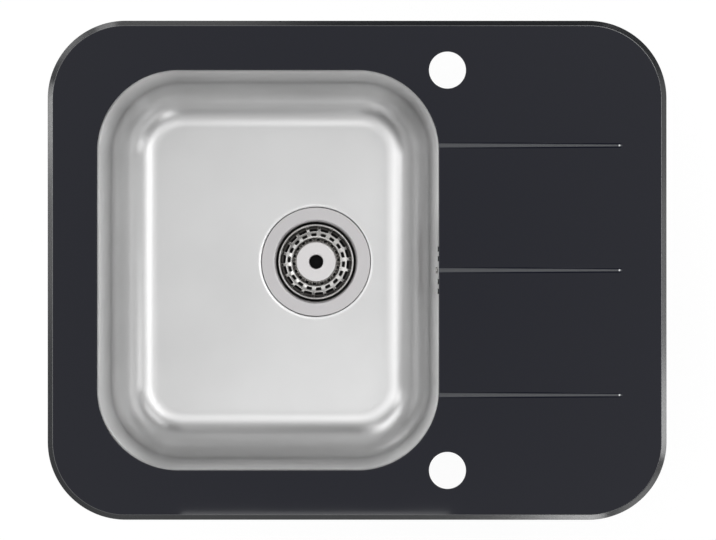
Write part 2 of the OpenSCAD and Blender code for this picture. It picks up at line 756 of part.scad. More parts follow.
// The space outside the bowl's wall and under its flange, in section from the bowl opening's edge
module outside_section() {
    c = lip_c - [bowl_corner_r, 0];
    off = bowl_t + seat_gap;
    foot = wall_foot - [bowl_corner_r, 0] - off * into_bowl;
    top_z = c[1] + lip_r - off;
    polygon(concat(
        arc(c, lip_r - off, 90, 180 - bowl_draft, LIP_STEPS),
        [foot, [over_x1 - bowl_right + 1, foot[1]], [over_x1 - bowl_right + 1, top_z]]
    ));
}

module overflow_gasket() {
    x0 = over_x0 - bowl_right;
    x1 = over_x1 - bowl_right;
    half = over_half + over_bar;
    color([0.15, 0.15, 0.15]) translate([bowl_right, 0, 0]) difference() {
        rotate([90, 0, 0]) linear_extrude(2 * half, center = true) intersection() {
            union() {
                translate([0, over_low - over_bar]) square([x0, over_bar - over_low + flange_z0]);
                translate([0, over_top]) square([x1, flange_z0 - over_top]);
            }
            outside_section();
        }
        translate([-1, -over_half, over_low]) cube([x0 + 2, 2 * over_half, over_top - over_low]);
    }
}

// Moulded box behind the slots, open towards the bowl, with a screw boss and a spigot below
module overflow_housing() {
    half = over_half + over_bar;
    z0 = over_low - over_bar;
    color([0.93, 0.93, 0.92]) difference() {
        union() {
            difference() {
                translate([over_x0, -half, z0]) cube([over_x1 - over_x0, 2 * half, over_top - z0]);
                translate([over_x0 - 1, -over_half, over_low])
                    cube([over_x1 - over_wall - over_x0 + 1, 2 * over_half, over_top - over_wall - over_low]);
            }
            translate([over_x0, 0, over_mid]) rotate([0, 90, 0])
                cylinder(r = over_boss_r, h = over_x1 - over_x0 - 1);
            translate([hose_x, 0, spigot_z0]) cylinder(r = spigot_r, h = spigot_l + EPS);
        }
        translate([hose_x, 0, spigot_z0 - 1]) cylinder(r = spigot_bore, h = spigot_l + over_bar + 1.5);
        translate([over_x0 - 1, 0, over_mid]) rotate([0, 90, 0]) cylinder(r = over_screw_r + fit_gap, h = 15);
    }
}

// Flat-headed screw from inside the bowl into the housing's boss
module overflow_screw() {
    head_h = 1.6;
    head_r = 3.2;
    slot_w = 0.8;
    slot_l = 3.6;
    x_wall = bowl_right + wall_top[0] - bowl_corner_r - (wall_top[1] - over_mid - head_r) * tan(bowl_draft);
    color([0.8, 0.8, 0.8]) translate([x_wall, 0, over_mid]) difference() {
        union() {
            translate([-head_h - 0.3, 0, 0]) rotate([0, 90, 0]) cylinder(r = head_r, h = head_h);
            translate([-0.5, 0, 0]) rotate([0, 90, 0]) cylinder(r = over_screw_r, h = over_x0 + 12 - x_wall);
        }
        for (a = [0, 90]) rotate([a, 0, 0]) translate([-head_h - 1.3, -slot_l / 2, -slot_w / 2])
            cube([head_h / 2 + 1.1, slot_l, slot_w]);
    }
}

// Place and direction of the hose's centre line at distance s from its upper end
function hose_at(s) =
    s < drop_l ? [hose_run, hose_start_z - s, -90] :
    s < drop_l + bend_l ?
        let (a = (s - drop_l) / hose_bend_r * 180 / PI)
        [hose_run - hose_bend_r + hose_bend_r * cos(a), low_z + hose_bend_r - hose_bend_r * sin(a), -90 - a] :
    [hose_end_x + hose_l - s, low_z, -180];
function hose_ring(s, r) =
    let (p = hose_at(s), up = [-sin(p[2]), cos(p[2])])
    [for (k = [0:HOSE_SIDES - 1]) let (a = (360 * k + 180) / HOSE_SIDES, v = r * cos(a))
        [p[0] + up[0] * v, r * sin(a), p[1] + up[1] * v]];

// Ribbed hose: plain cuffs with collars in the nuts, ribs between, and a bore all through
module overflow_hose() {
    cuff_r = spigot_r - 1.2;
    collar_r = spigot_r - 0.1;
    ease = 0.4;
    cuff_l = hose_d;
    ribs = floor((hose_l - 2 * cuff_l) / rib_pitch);
    rib_run = ribs * rib_pitch;
    first = (hose_l - rib_run) / 2;
    marks = concat(
        [[0, collar_r], [collar_l, collar_r], [collar_l + ease, cuff_r], [first, cuff_r]],
        [for (i = [0:ribs - 1], j = [0, 1])
            [first + (i + (j + 0.5) / 2) * rib_pitch, j == 0 ? hose_d / 2 : cuff_r]],
        [[hose_l - first + ease, cuff_r], [hose_l - collar_l - ease, cuff_r],
         [hose_l - collar_l, collar_r], [hose_l, collar_r]]
    );
    n = len(marks);
    pts = concat(
        [for (m = marks) each hose_ring(m[0], m[1])],
        [for (m = marks) each hose_ring(m[0], hose_bore / 2)]
    );
    in0 = n * HOSE_SIDES;
    faces = [
        for (i = [0:n - 2], k = [0:HOSE_SIDES - 1])
            let (a = i * HOSE_SIDES + k, b = i * HOSE_SIDES + (k + 1) % HOSE_SIDES,
                 c = a + HOSE_SIDES, d = b + HOSE_SIDES)
            each [[a, b, c], [b, d, c], [in0 + a, in0 + c, in0 + b], [in0 + b, in0 + c, in0 + d]],
        for (k = [0:HOSE_SIDES - 1])
            let (a = k, b = (k + 1) % HOSE_SIDES, z = (n - 1) * HOSE_SIDES)
            each [[a, in0 + a, b], [b, in0 + a, in0 + b],
                  [z + a, z + b, in0 + z + a], [z + b, in0 + z + b, in0 + z + a]]
    ];
    color([0.9, 0.9, 0.88]) translate([drain_x, drain_y, 0]) rotate(hose_turn) polyhedron(pts, faces);
}

// Union nut, grip flutes outside, with its lip under the hose collar; the spigot's end is at zero
module hose_nut() {
    z0 = -washer_t - collar_l - nut_lip - 0.2;
    hole_r = spigot_r - 0.7;
    flutes = 12;
    flute_r = 1.6;
    color([0.9, 0.9, 0.9]) difference() {
        translate([0, 0, z0]) cylinder(r = nut_r, h = nut_grip - z0);
        translate([0, 0, z0 + nut_lip]) cylinder(r = spigot_r + fit_gap, h = BIG);
        translate([0, 0, z0 - 1]) cylinder(r = hole_r, h = nut_lip + 2);
        for (i = [1:flutes]) rotate(360 * i / flutes) translate([nut_r + 0.6, 0, z0 - 1])
            cylinder(r = flute_r, h = nut_grip - z0 + 2, $fn = 24);
    }
}

module at_upper_spigot() { translate([hose_x, 0, spigot_z0]) children(); }
module at_lower_spigot() {
    translate([drain_x, drain_y, 0]) rotate(hose_turn) translate([low_x, 0, low_z]) rotate([0, -90, 0]) children();
}
module hose_nut_upper() { at_upper_spigot() hose_nut(); }
module hose_nut_lower() { at_lower_spigot() hose_nut(); }

module hose_washer() {
    translate([0, 0, -washer_t]) difference() {
        cylinder(r = spigot_r - 0.1, h = washer_t);
        translate([0, 0, -1]) cylinder(r = spigot_bore, h = washer_t + 2);
    }
}

module hose_washers() {
    color([0.15, 0.15, 0.15]) {
        at_upper_spigot() hose_washer();
        at_lower_spigot() hose_washer();
    }
}

glass_top();
edge_seal();
bowl();
bowl_bond();
sound_pad();
rail_back();
rail_front();
rail_left();
rail_right();
rail_tapes();
channel_nuts();
clip_screw(0);  // clip_screw_1
clip_screw(1);  // clip_screw_2
clip_screw(2);  // clip_screw_3
clip_screw(3);  // clip_screw_4
clip_screw(4);  // clip_screw_5
clip_screw(5);  // clip_screw_6
clip_arm(0);  // clip_arm_1
clip_arm(1);  // clip_arm_2
clip_arm(2);  // clip_arm_3
clip_arm(3);  // clip_arm_4
clip_arm(4);  // clip_arm_5
clip_arm(5);  // clip_arm_6
strainer_dish();
flange_gasket();
floor_washer();
waste_body();
clamp_bolt();
bolt_insert();
basket();
basket_crown();
basket_hub();
plug_seal();
overflow_housing();
overflow_gasket();
overflow_screw();
overflow_hose();
hose_nut_upper();
hose_nut_lower();
hose_washers();
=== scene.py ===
"""Finishes and fine shapes of a glass kitchen sink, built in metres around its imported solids."""

import logging
import math
from dataclasses import dataclass, field
from enum import Enum
from typing import Any, Sequence

import bmesh
import bpy
import numpy as np
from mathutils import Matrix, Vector


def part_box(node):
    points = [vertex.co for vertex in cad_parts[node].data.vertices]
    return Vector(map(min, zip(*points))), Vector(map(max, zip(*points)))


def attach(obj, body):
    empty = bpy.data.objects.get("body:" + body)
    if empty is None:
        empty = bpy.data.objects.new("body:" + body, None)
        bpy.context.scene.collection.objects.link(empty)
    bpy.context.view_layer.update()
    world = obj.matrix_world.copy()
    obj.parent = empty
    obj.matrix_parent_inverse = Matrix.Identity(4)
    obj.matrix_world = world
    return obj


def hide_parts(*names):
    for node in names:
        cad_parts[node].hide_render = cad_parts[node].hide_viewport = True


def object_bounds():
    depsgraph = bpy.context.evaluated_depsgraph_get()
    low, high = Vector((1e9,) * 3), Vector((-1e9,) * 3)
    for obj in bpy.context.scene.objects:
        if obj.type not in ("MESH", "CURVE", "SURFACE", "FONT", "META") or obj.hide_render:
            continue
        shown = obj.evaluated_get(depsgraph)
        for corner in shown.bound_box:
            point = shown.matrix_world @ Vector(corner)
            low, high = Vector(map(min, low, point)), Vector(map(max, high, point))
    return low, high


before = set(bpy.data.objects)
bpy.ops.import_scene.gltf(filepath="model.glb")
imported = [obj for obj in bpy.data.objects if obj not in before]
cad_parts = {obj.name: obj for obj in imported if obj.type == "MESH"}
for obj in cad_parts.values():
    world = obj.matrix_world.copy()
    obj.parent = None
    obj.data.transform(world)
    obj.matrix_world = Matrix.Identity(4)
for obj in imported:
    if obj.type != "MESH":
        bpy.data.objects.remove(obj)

MM = 0.001
CAD_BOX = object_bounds()
DRAIN = np.mean(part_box("strainer_dish"), 0)[:2]
BODY = "sink"
LIFT_BODY = "basket"
CLIPS = 6
Point = Sequence[float]
log = logging.getLogger("sink")


class Shading(Enum):
    """The turn between two faces, in degrees, from which the edge between them is sharp."""

    ROUND = 180.0
    PRESSED = 35.0
    GROUND = 14.0


@dataclass
class Patch:
    """A grid of points that becomes faces: rows along a profile, columns along its path."""

    points: np.ndarray
    close_rows: bool = False
    close_columns: bool = True
    keep: np.ndarray | None = None
    material: int | np.ndarray = 0

    def faces(self) -> tuple[np.ndarray, np.ndarray]:
        """Quads between neighbouring points.

        Returns:
            The kept quads, as indices into the flattened grid, and the material number of each.
        """
        rows, columns = self.points.shape[:2]
        i, j = np.arange(rows - 1 + self.close_rows), np.arange(columns - 1 + self.close_columns)
        a, b = np.meshgrid(i, j, indexing="ij")
        a1, b1 = (a + 1) % rows, (b + 1) % columns
        quads = np.stack([a * columns + b, a * columns + b1, a1 * columns + b1, a1 * columns + b], -1)
        keep = np.ones(a.shape, bool) if self.keep is None else self.keep
        return quads[keep], np.broadcast_to(np.reshape(self.material, (-1, 1)), a.shape)[keep]


def node_box(node: str) -> np.ndarray:
    """The lowest and highest corner of a solid at rest, as two rows."""
    return np.array(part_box(node))


def arc(centre: Point, radius: float, start: float, end: float, steps: int) -> np.ndarray:
    """Points on an arc: the centre plus the radius times cosine and sine of evenly spaced angles.

    Args:
        centre: The arc's centre.
        radius: Its radius.
        start: The first angle, in degrees.
        end: The last angle, in degrees.
        steps: How many chords the arc has.

    Returns:
        Rows of steps + 1 points.
    """
    angle = np.radians(np.linspace(start, end, steps + 1))
    return np.asarray(centre) + radius * np.stack([np.cos(angle), np.sin(angle)], 1)


def eased(points: Sequence[Point], radius: float, steps: int = 4, closed: bool = True) -> np.ndarray:
    """A profile with each corner replaced by a small curve.

    The curve is a quadratic one from a point on each side, at the given distance from the corner or at
    most four tenths of the side, with the corner as its middle control point. A further point just beyond
    each end keeps the shading of the flat beside it flat.

    Args:
        points: The profile's corners.
        radius: The distance from each corner at which the curve starts.
        steps: How many chords each curve has.
        closed: Whether the last corner joins the first.

    Returns:
        The eased profile.
    """
    p = np.asarray(points, float)
    cut, keep = [], []
    for way in (np.roll(p, 1, 0) - p, np.roll(p, -1, 0) - p):
        length = np.linalg.norm(way, axis=1, keepdims=True)
        cut.append(p + way / length * np.minimum(radius, 0.4 * length))
        keep.append(p + way / length * np.minimum(1.2 * radius, 0.46 * length))
    t = np.linspace(0, 1, steps + 1)[None, :, None]
    curve = (1 - t) ** 2 * cut[0][:, None] + 2 * t * (1 - t) * p[:, None] + t ** 2 * cut[1][:, None]
    curve = np.concatenate([keep[0][:, None], curve, keep[1][:, None]], 1)
    if closed:
        return curve.reshape(-1, p.shape[1])
    return np.concatenate([p[:1], curve[1:-1].reshape(-1, p.shape[1]), p[-1:]])


def moved_aside(profile: np.ndarray, distance: float) -> np.ndarray:
    """A profile moved sideways: each point goes along the mean of the normals beside it, mitred.

    Args:
        profile: The profile's points.
        distance: How far it moves to its left.

    Returns:
        The moved points.
    """
    step = np.diff(profile, axis=0)
    step /= np.linalg.norm(step, axis=1, keepdims=True)
    normal = np.stack([-step[:, 1], step[:, 0]], 1)
    before = np.vstack([normal[:1], normal])
    mean = before + np.vstack([normal, normal[-1:]])
    mean /= np.linalg.norm(mean, axis=1, keepdims=True)
    return profile + mean * distance / np.sum(mean * before, 1, keepdims=True)


def band(profile: np.ndarray, thickness: float) -> np.ndarray:
    """A closed outline: the profile, and back along the profile moved aside by the thickness."""
    return np.concatenate([profile, moved_aside(profile, thickness)[::-1]])


def corner_path(low: np.ndarray, high: np.ndarray, inset: float, corner_steps: int,
                side_steps: int) -> np.ndarray:
    """A path round a box with round corners, from the middles of its corner circles.

    Each corner turns through a quarter circle about its own middle; between two corners the middle slides
    along the side while the direction outwards stays.

    Args:
        low: The box's lowest corner.
        high: Its highest corner.
        inset: How far the corner circles' middles lie inside it.
        corner_steps: Chords to a corner.
        side_steps: Steps along a side.

    Returns:
        Rows of middle x, middle y, and the cosine and sine of the direction outwards.
    """
    rows = []
    half = (high - low)[:2] / 2 - inset
    middles = half * [(1, 1), (-1, 1), (-1, -1), (1, -1)]
    for k, middle in enumerate(middles):
        angle = np.radians(90 * k + np.linspace(0, 90, corner_steps + 1))
        here = np.broadcast_to(middle, (corner_steps + 1, 2))
        rows.append(np.column_stack([here, np.cos(angle), np.sin(angle)]))
        share = np.linspace(0, 1, side_steps + 1)[1:-1, None]
        along = (1 - share) * middle + share * middles[(k + 1) % 4]
        turn = np.broadcast_to([np.cos(angle[-1]), np.sin(angle[-1])], along.shape)
        rows.append(np.column_stack([along, turn]))
    path = np.concatenate(rows)
    path[:, :2] += (low + high)[:2] / 2
    return path


def ring_path(centre: Point, steps: int) -> np.ndarray:
    """A round path: rows of centre x, centre y, and the cosine and sine of the direction outwards."""
    angle = np.linspace(0, 2 * np.pi, steps, endpoint=False)
    return np.stack([np.full(steps, centre[0]), np.full(steps, centre[1]), np.cos(angle), np.sin(angle)], 1)


def carry(profile: np.ndarray, path: np.ndarray) -> np.ndarray:
    """A profile carried along a path.

    Each point is the path's middle plus the profile's radius times the direction outwards, at the
    profile's height.

    Args:
        profile: Rows of radius and height.
        path: Rows of middle x, middle y, and the cosine and sine of the direction outwards.

    Returns:
        A grid of points, a row for each row of the profile.
    """
    radius, height = profile[:, :1], profile[:, 1:2]
    x = path[:, 0] + radius * path[:, 2]
    y = path[:, 1] + radius * path[:, 3]
    return np.stack([x, y, np.broadcast_to(height, x.shape)], -1)


def lathe(profile: np.ndarray, steps: int, closed: bool = True, centre: Point = DRAIN) -> Patch:
    """A profile turned about an upright axis."""
    return Patch(carry(profile, ring_path(centre, steps)), close_rows=closed)


def skin(name: str, *patches: Patch, shading: Shading = Shading.PRESSED) -> bpy.types.Object:
    """Makes one mesh of several grids: equal points are merged and faces point outwards.

    Args:
        name: The new object's name.
        patches: The grids.
        shading: How faces meet in the light.

    Returns:
        The new object.
    """
    starts = np.cumsum([0] + [patch.points.size // 3 for patch in patches])
    quads, materials = zip(*(patch.faces() for patch in patches))
    mesh = bpy.data.meshes.new(name)
    mesh.from_pydata(np.concatenate([patch.points.reshape(-1, 3) for patch in patches]), [],
                     np.concatenate([each + start for each, start in zip(quads, starts)]))
    mesh.polygons.foreach_set("material_index", np.concatenate(materials).astype(np.int32))
    work = bmesh.new()
    work.from_mesh(mesh)
    bmesh.ops.remove_doubles(work, verts=work.verts, dist=1e-7)
    bmesh.ops.recalc_face_normals(work, faces=work.faces)
    work.to_mesh(mesh)
    work.free()
    piece = bpy.data.objects.new(name, mesh)
    bpy.context.scene.collection.objects.link(piece)
    shade(piece, shading)
    return piece


def shade(piece: bpy.types.Object, shading: Shading) -> None:
    """Smooths a piece, with its edges sharp where faces meet at more than the shading's angle.

    Args:
        piece: The piece.
        shading: How its faces meet in the light.
    """
    piece.data.shade_smooth()
    if shading is not Shading.ROUND:
        piece.data.set_sharp_from_angle(angle=math.radians(shading.value))


def apply_modifiers(piece: bpy.types.Object) -> None:
    """Puts the result of a piece's modifiers into its own mesh.

    Args:
        piece: The piece.
    """
    graph = bpy.context.evaluated_depsgraph_get()
    mesh = bpy.data.meshes.new_from_object(piece.evaluated_get(graph))
    piece.modifiers.clear()
    old = piece.data
    piece.data = mesh
    bpy.data.meshes.remove(old)


def combine(piece: bpy.types.Object, tool: bpy.types.Object, operation: str = "DIFFERENCE",
            shading: Shading = Shading.PRESSED) -> None:
    """Cuts a tool out of a piece, or joins it on, and deletes the tool.

    Args:
        piece: The closed piece that changes.
        tool: The closed mesh that cuts or joins.
        operation: DIFFERENCE or UNION.
        shading: How the result's faces meet in the light.
    """
    cut = piece.modifiers.new("cut", "BOOLEAN")
    cut.operation = operation
    cut.solver = "EXACT"
    cut.object = tool
    bpy.context.view_layer.update()
    apply_modifiers(piece)
    bpy.data.objects.remove(tool)
    shade(piece, shading)


def prism(outline: np.ndarray, low: float, high: float, centre: Point, turn: float,
          edge: float = 0.2 * MM) -> bpy.types.Object:
    """An outline made solid between two heights, with eased edges.

    Args:
        outline: Its corners, seen from above.
        low: Its lower height.
        high: Its upper height.
        centre: Where the outline's origin goes.
        turn: The outline's turn, in degrees.
        edge: How far the edges are eased.

    Returns:
        The new closed object.
    """
    c, s = math.cos(math.radians(turn)), math.sin(math.radians(turn))
    flat = np.asarray(outline) @ [(c, s), (-s, c)] + np.asarray(centre)
    middle = flat.mean(0)
    inside = middle + (flat - middle) * (1 - edge / np.linalg.norm(flat - middle, axis=1, keepdims=True))
    point = np.broadcast_to(middle, flat.shape)
    levels = ((point, low), (inside, low), (flat, low + edge), (flat, high - edge), (inside, high),
              (point, high))
    rows = [np.column_stack([ring, np.full(len(ring), z)]) for ring, z in levels]
    return skin("prism", Patch(np.stack(rows)))


def linear(colour: str) -> tuple[float, float, float, float]:
    """An sRGB hex colour as linear light.

    Args:
        colour: The colour, with its hash.

    Returns:
        Red, green, blue and alpha.
    """
    value = np.array([int(colour[i:i + 2], 16) for i in (1, 3, 5)]) / 255
    value = np.where(value <= 0.04045, value / 12.92, ((value + 0.055) / 1.055) ** 2.4)
    return (*value.tolist(), 1.0)


def add(tree: bpy.types.NodeTree, kind: str, inputs: dict[str | int, Any] | None = None, out: str | int = 0,
        stops: Sequence[tuple[float, Any]] = (), **settings: Any) -> bpy.types.NodeSocket | None:
    """Adds a shader node with its settings, and sets or links its inputs.

    Args:
        tree: The node tree.
        kind: The node's type, without its ShaderNode prefix.
        inputs: For each socket, by name or number, a value or the output that feeds it.
        out: The wanted output, by name or number.
        stops: A colour ramp's places, each with an sRGB hex colour or a linear one.
        settings: The node's own properties.

    Returns:
        The wanted output, or None for a node without outputs.
    """
    node = tree.nodes.new("ShaderNode" + kind)
    for key, value in settings.items():
        setattr(node, key, value)
    for key, value in (inputs or {}).items():
        if isinstance(value, bpy.types.NodeSocket):
            tree.links.new(value, node.inputs[key])
        else:
            node.inputs[key].default_value = value
    if stops:
        elements = node.color_ramp.elements
        while len(elements) < len(stops):
            elements.new(0.5)
        for element, (place, colour) in zip(elements, stops):
            element.position = place
            element.color = linear(colour) if isinstance(colour, str) else colour
    return node.outputs[out] if len(node.outputs) else None


def cleared(owner: bpy.types.Material | bpy.types.World) -> bpy.types.NodeTree:
    """The node tree of a material or world, without its first nodes.

    Args:
        owner: The material or world.

    Returns:
        The empty tree.
    """
    owner.use_nodes = True
    owner.node_tree.nodes.clear()
    return owner.node_tree


@dataclass(frozen=True)
class Finish:
    """A substance and how its surface was made. The subclasses add the patterns."""

    slot: str
    label: str
    colour: str
    roughness: float
    metallic: float = 0.0
    ior: float = 1.5

    def material(self) -> bpy.types.Material:
        """Makes the Blender material when it is first asked for.

        Returns:
            The material.
        """
        made = bpy.data.materials.get(self.label)
        if made is None:
            made = bpy.data.materials.new(self.label)
            made.diffuse_color = linear(self.colour)
            tree = cleared(made)
            surface = add(tree, "BsdfPrincipled", {
                "Base Color": linear(self.colour), "Roughness": self.roughness,
                "Metallic": self.metallic, "IOR": self.ior})
            for key, feed in self.pattern(tree).items():
                tree.links.new(feed, surface.node.inputs[key])
            add(tree, "OutputMaterial", {"Surface": surface})
        return made

    def pattern(self, tree: bpy.types.NodeTree) -> dict[str, bpy.types.NodeSocket]:
        """What varies over the surface: for each input of the shader, the output that feeds it."""
        return {}

    def grained(self, tree: bpy.types.NodeTree, size: float, detail: float = 2.0,
                stretch: Point = (1, 1, 1)) -> bpy.types.NodeSocket:
        """Noise on Object coordinates whose grain has a real size.

        Args:
            tree: The node tree.
            size: The grain's size, in metres.
            detail: Octaves of finer grain.
            stretch: How many times longer the grain is along X, Y and Z.

        Returns:
            The noise, from 0 to 1.
        """
        place = add(tree, "Mapping", {"Vector": add(tree, "TexCoord", out="Object"),
                                      "Scale": tuple(1 / (size * s) for s in stretch)})
        return add(tree, "TexNoise", {"Vector": place, "Scale": 1.0, "Detail": detail})


@dataclass(frozen=True)
class Steel(Finish):
    """Stainless or coated metal: its grain shows as fine streaks and cloudy gloss."""

    metallic: float = 1.0
    grain: float = 0.4 * MM
    grain_depth: float = 0.002 * MM
    cloud: float = 60 * MM
    gloss_range: float = 0.05
    shade: str = "#C4C3C1"
    line: float = 0.0
    line_depth: float = 0.0
    line_stretch: tuple[float, float, float] = (60, 60, 1)

    def pattern(self, tree: bpy.types.NodeTree) -> dict[str, bpy.types.NodeSocket]:
        """Clouds of slightly different gloss and shade, over fine grain and any level lines from the die.

        Args:
            tree: The node tree.

        Returns:
            For each input of the shader, the output that feeds it.
        """
        clouds = self.grained(tree, self.cloud, 3.0)
        coarse = {}
        if self.line:
            lines = self.grained(tree, self.line, stretch=self.line_stretch)
            coarse["Normal"] = add(tree, "Bump", {"Height": lines, "Distance": self.line_depth})
        return {"Roughness": add(tree, "MapRange", {0: clouds, 3: self.roughness - self.gloss_range,
                                                    4: self.roughness + self.gloss_range}),
                "Base Color": add(tree, "ValToRGB", {0: clouds},
                                  stops=((0.3, self.shade), (0.7, self.colour))),
                "Normal": add(tree, "Bump", {"Height": self.grained(tree, self.grain),
                                             "Distance": self.grain_depth, **coarse})}


@dataclass(frozen=True)
class Turned(Finish):
    """Steel spun against an abrasive: its grain runs in rings about the drain's axis."""

    metallic: float = 1.0
    ring: float = 0.35 * MM
    rise: float = 1.4 * MM
    drift: float = 30.0
    depth: float = 0.003 * MM
    gloss_range: float = 0.05
    # inside: the colour of painted shade that darkens the dish's inside between two heights, where little
    # light reaches
    inside: str = ""
    painted_shade_from: float = -0.183
    painted_shade_to: float = -0.192

    def pattern(self, tree: bpy.types.NodeTree) -> dict[str, bpy.types.NodeSocket]:
        """Noise on distance from the axis, slow round it and fast across it, and painted shade deep inside.

        Args:
            tree: The node tree.

        Returns:
            For each input of the shader, the output that feeds it.
        """
        place = add(tree, "Mapping", {"Vector": add(tree, "TexCoord", out="Object"),
                                      "Location": (*-DRAIN, 0)})
        x, y, z = add(tree, "SeparateXYZ", {0: place}).node.outputs
        flat = add(tree, "CombineXYZ", {0: x, 1: y})
        radius = add(tree, "VectorMath", {0: flat}, "Value", operation="LENGTH")
        across = add(tree, "Math", {0: radius, 1: self.ring}, operation="DIVIDE")
        height = add(tree, "Math", {0: z, 1: self.rise}, operation="DIVIDE")
        around = add(tree, "VectorMath", {0: flat, "Scale": self.drift}, operation="SCALE")
        key = add(tree, "CombineXYZ", {0: across, 1: height})
        mixed = add(tree, "VectorMath", {0: key, 1: around}, operation="ADD")
        grain = add(tree, "TexNoise", {"Vector": mixed, "Scale": 1.0, "Detail": 1.0})
        made = {"Roughness": add(tree, "MapRange", {0: grain, 3: self.roughness - self.gloss_range,
                                                    4: self.roughness + self.gloss_range}),
                "Normal": add(tree, "Bump", {"Height": grain, "Distance": self.depth})}
        # Painted shade: the colour darkens with depth towards the bottom inside, where the slots let in
        # little light.
        if self.inside:
            depth = add(tree, "MapRange", {0: z, 1: self.painted_shade_from, 2: self.painted_shade_to})
            made["Base Color"] = add(tree, "ValToRGB", {0: depth},
                                     stops=((0, self.colour), (1, self.inside)))
        return made


@dataclass(frozen=True)
class Moulded(Finish):
    """Plastic or rubber from a mould: a faint skin texture and a little dust in the colour."""

    grain: float = 0.5 * MM
    depth: float = 0.01 * MM
    dust: str = "#FFFFFF"
    patch: float = 25 * MM
    gloss_range: float = 0.04

    def pattern(self, tree: bpy.types.NodeTree) -> dict[str, bpy.types.NodeSocket]:
        """Fine skin texture, and broad patches a shade apart.

        Args:
            tree: The node tree.

        Returns:
            For each input of the shader, the output that feeds it.
        """
        fine, patches = self.grained(tree, self.grain), self.grained(tree, self.patch, 3.0)
        return {"Roughness": add(tree, "MapRange", {0: fine, 3: self.roughness - self.gloss_range,
                                                    4: self.roughness + self.gloss_range}),
                "Base Color": add(tree, "ValToRGB", {0: patches},
                                  stops=((0.35, self.colour), (0.75, self.dust))),
                "Normal": add(tree, "Bump", {"Height": fine, "Distance": self.depth})}


@dataclass(frozen=True)
class Foamed(Finish):
    """Closed-cell foam or felt-like filler: open pores in a matt surface."""

    cell: float = 0.6 * MM
    depth: float = 0.12 * MM
    pore: str = "#101010"

    def pattern(self, tree: bpy.types.NodeTree) -> dict[str, bpy.types.NodeSocket]:
        """Cells of a real size, darker between.

        Args:
            tree: The node tree.

        Returns:
            For each input of the shader, the output that feeds it.
        """
        cells = add(tree, "TexVoronoi", {"Vector": add(tree, "TexCoord", out="Object"),
                                         "Scale": 1 / self.cell})
        return {"Base Color": add(tree, "ValToRGB", {0: cells},
                                  stops=((0.1, self.colour), (0.8, self.pore))),
                "Normal": add(tree, "Bump", {"Height": cells, "Distance": -self.depth})}


@dataclass(frozen=True)
class Spangled(Finish):
    """Hot-dip galvanised strip: zinc crystals of a few millimetres, each at its own shade."""

    metallic: float = 1.0
    spangle: float = 5 * MM
    dark: str = "#8E9396"
    gloss_range: tuple[float, float] = (0.08, 0.1)
    grain: float = 0.6 * MM
    depth: float = 0.006 * MM

    def pattern(self, tree: bpy.types.NodeTree) -> dict[str, bpy.types.NodeSocket]:
        """Flat cells of random shade and gloss, over fine grain.

        Args:
            tree: The node tree.

        Returns:
            For each input of the shader, the output that feeds it.
        """
        cells = add(tree, "TexVoronoi", {"Vector": add(tree, "TexCoord", out="Object"),
                                         "Scale": 1 / self.spangle}, "Color")
        shades, glosses, _ = add(tree, "SeparateColor", {0: cells}).node.outputs
        return {"Base Color": add(tree, "ValToRGB", {0: shades},
                                  stops=((0, self.dark), (1, self.colour))),
                "Roughness": add(tree, "MapRange", {0: glosses, 3: self.roughness - self.gloss_range[0],
                                                    4: self.roughness + self.gloss_range[1]}),
                "Normal": add(tree, "Bump", {"Height": self.grained(tree, self.grain),
                                             "Distance": self.depth})}


@dataclass(frozen=True)
class Glass(Finish):
    """Float glass enamelled black on its underside, with a trace of dust.

    Its face is a mirror over black. Where its edge was ground and polished, light from inside the pane
    greys the black.
    """

    ripple: float = 90 * MM
    detail: float = 2.0
    change: float = 0.4
    depth: float = 0.0

    def pattern(self, tree: bpy.types.NodeTree) -> dict[str, bpy.types.NodeSocket]:
        """A slow change of gloss, as wiped glass has, or the shallow ripples of a polishing wheel.

        Args:
            tree: The node tree.

        Returns:
            For each input of the shader, the output that feeds it.
        """
        ripple = self.grained(tree, self.ripple, self.detail)
        made = {"Roughness": add(tree, "MapRange", {0: ripple, 3: self.roughness * (1 - self.change),
                                                    4: self.roughness * (1 + self.change)})}
        if self.depth:
            made["Normal"] = add(tree, "Bump", {"Height": ripple, "Distance": self.depth})
        return made


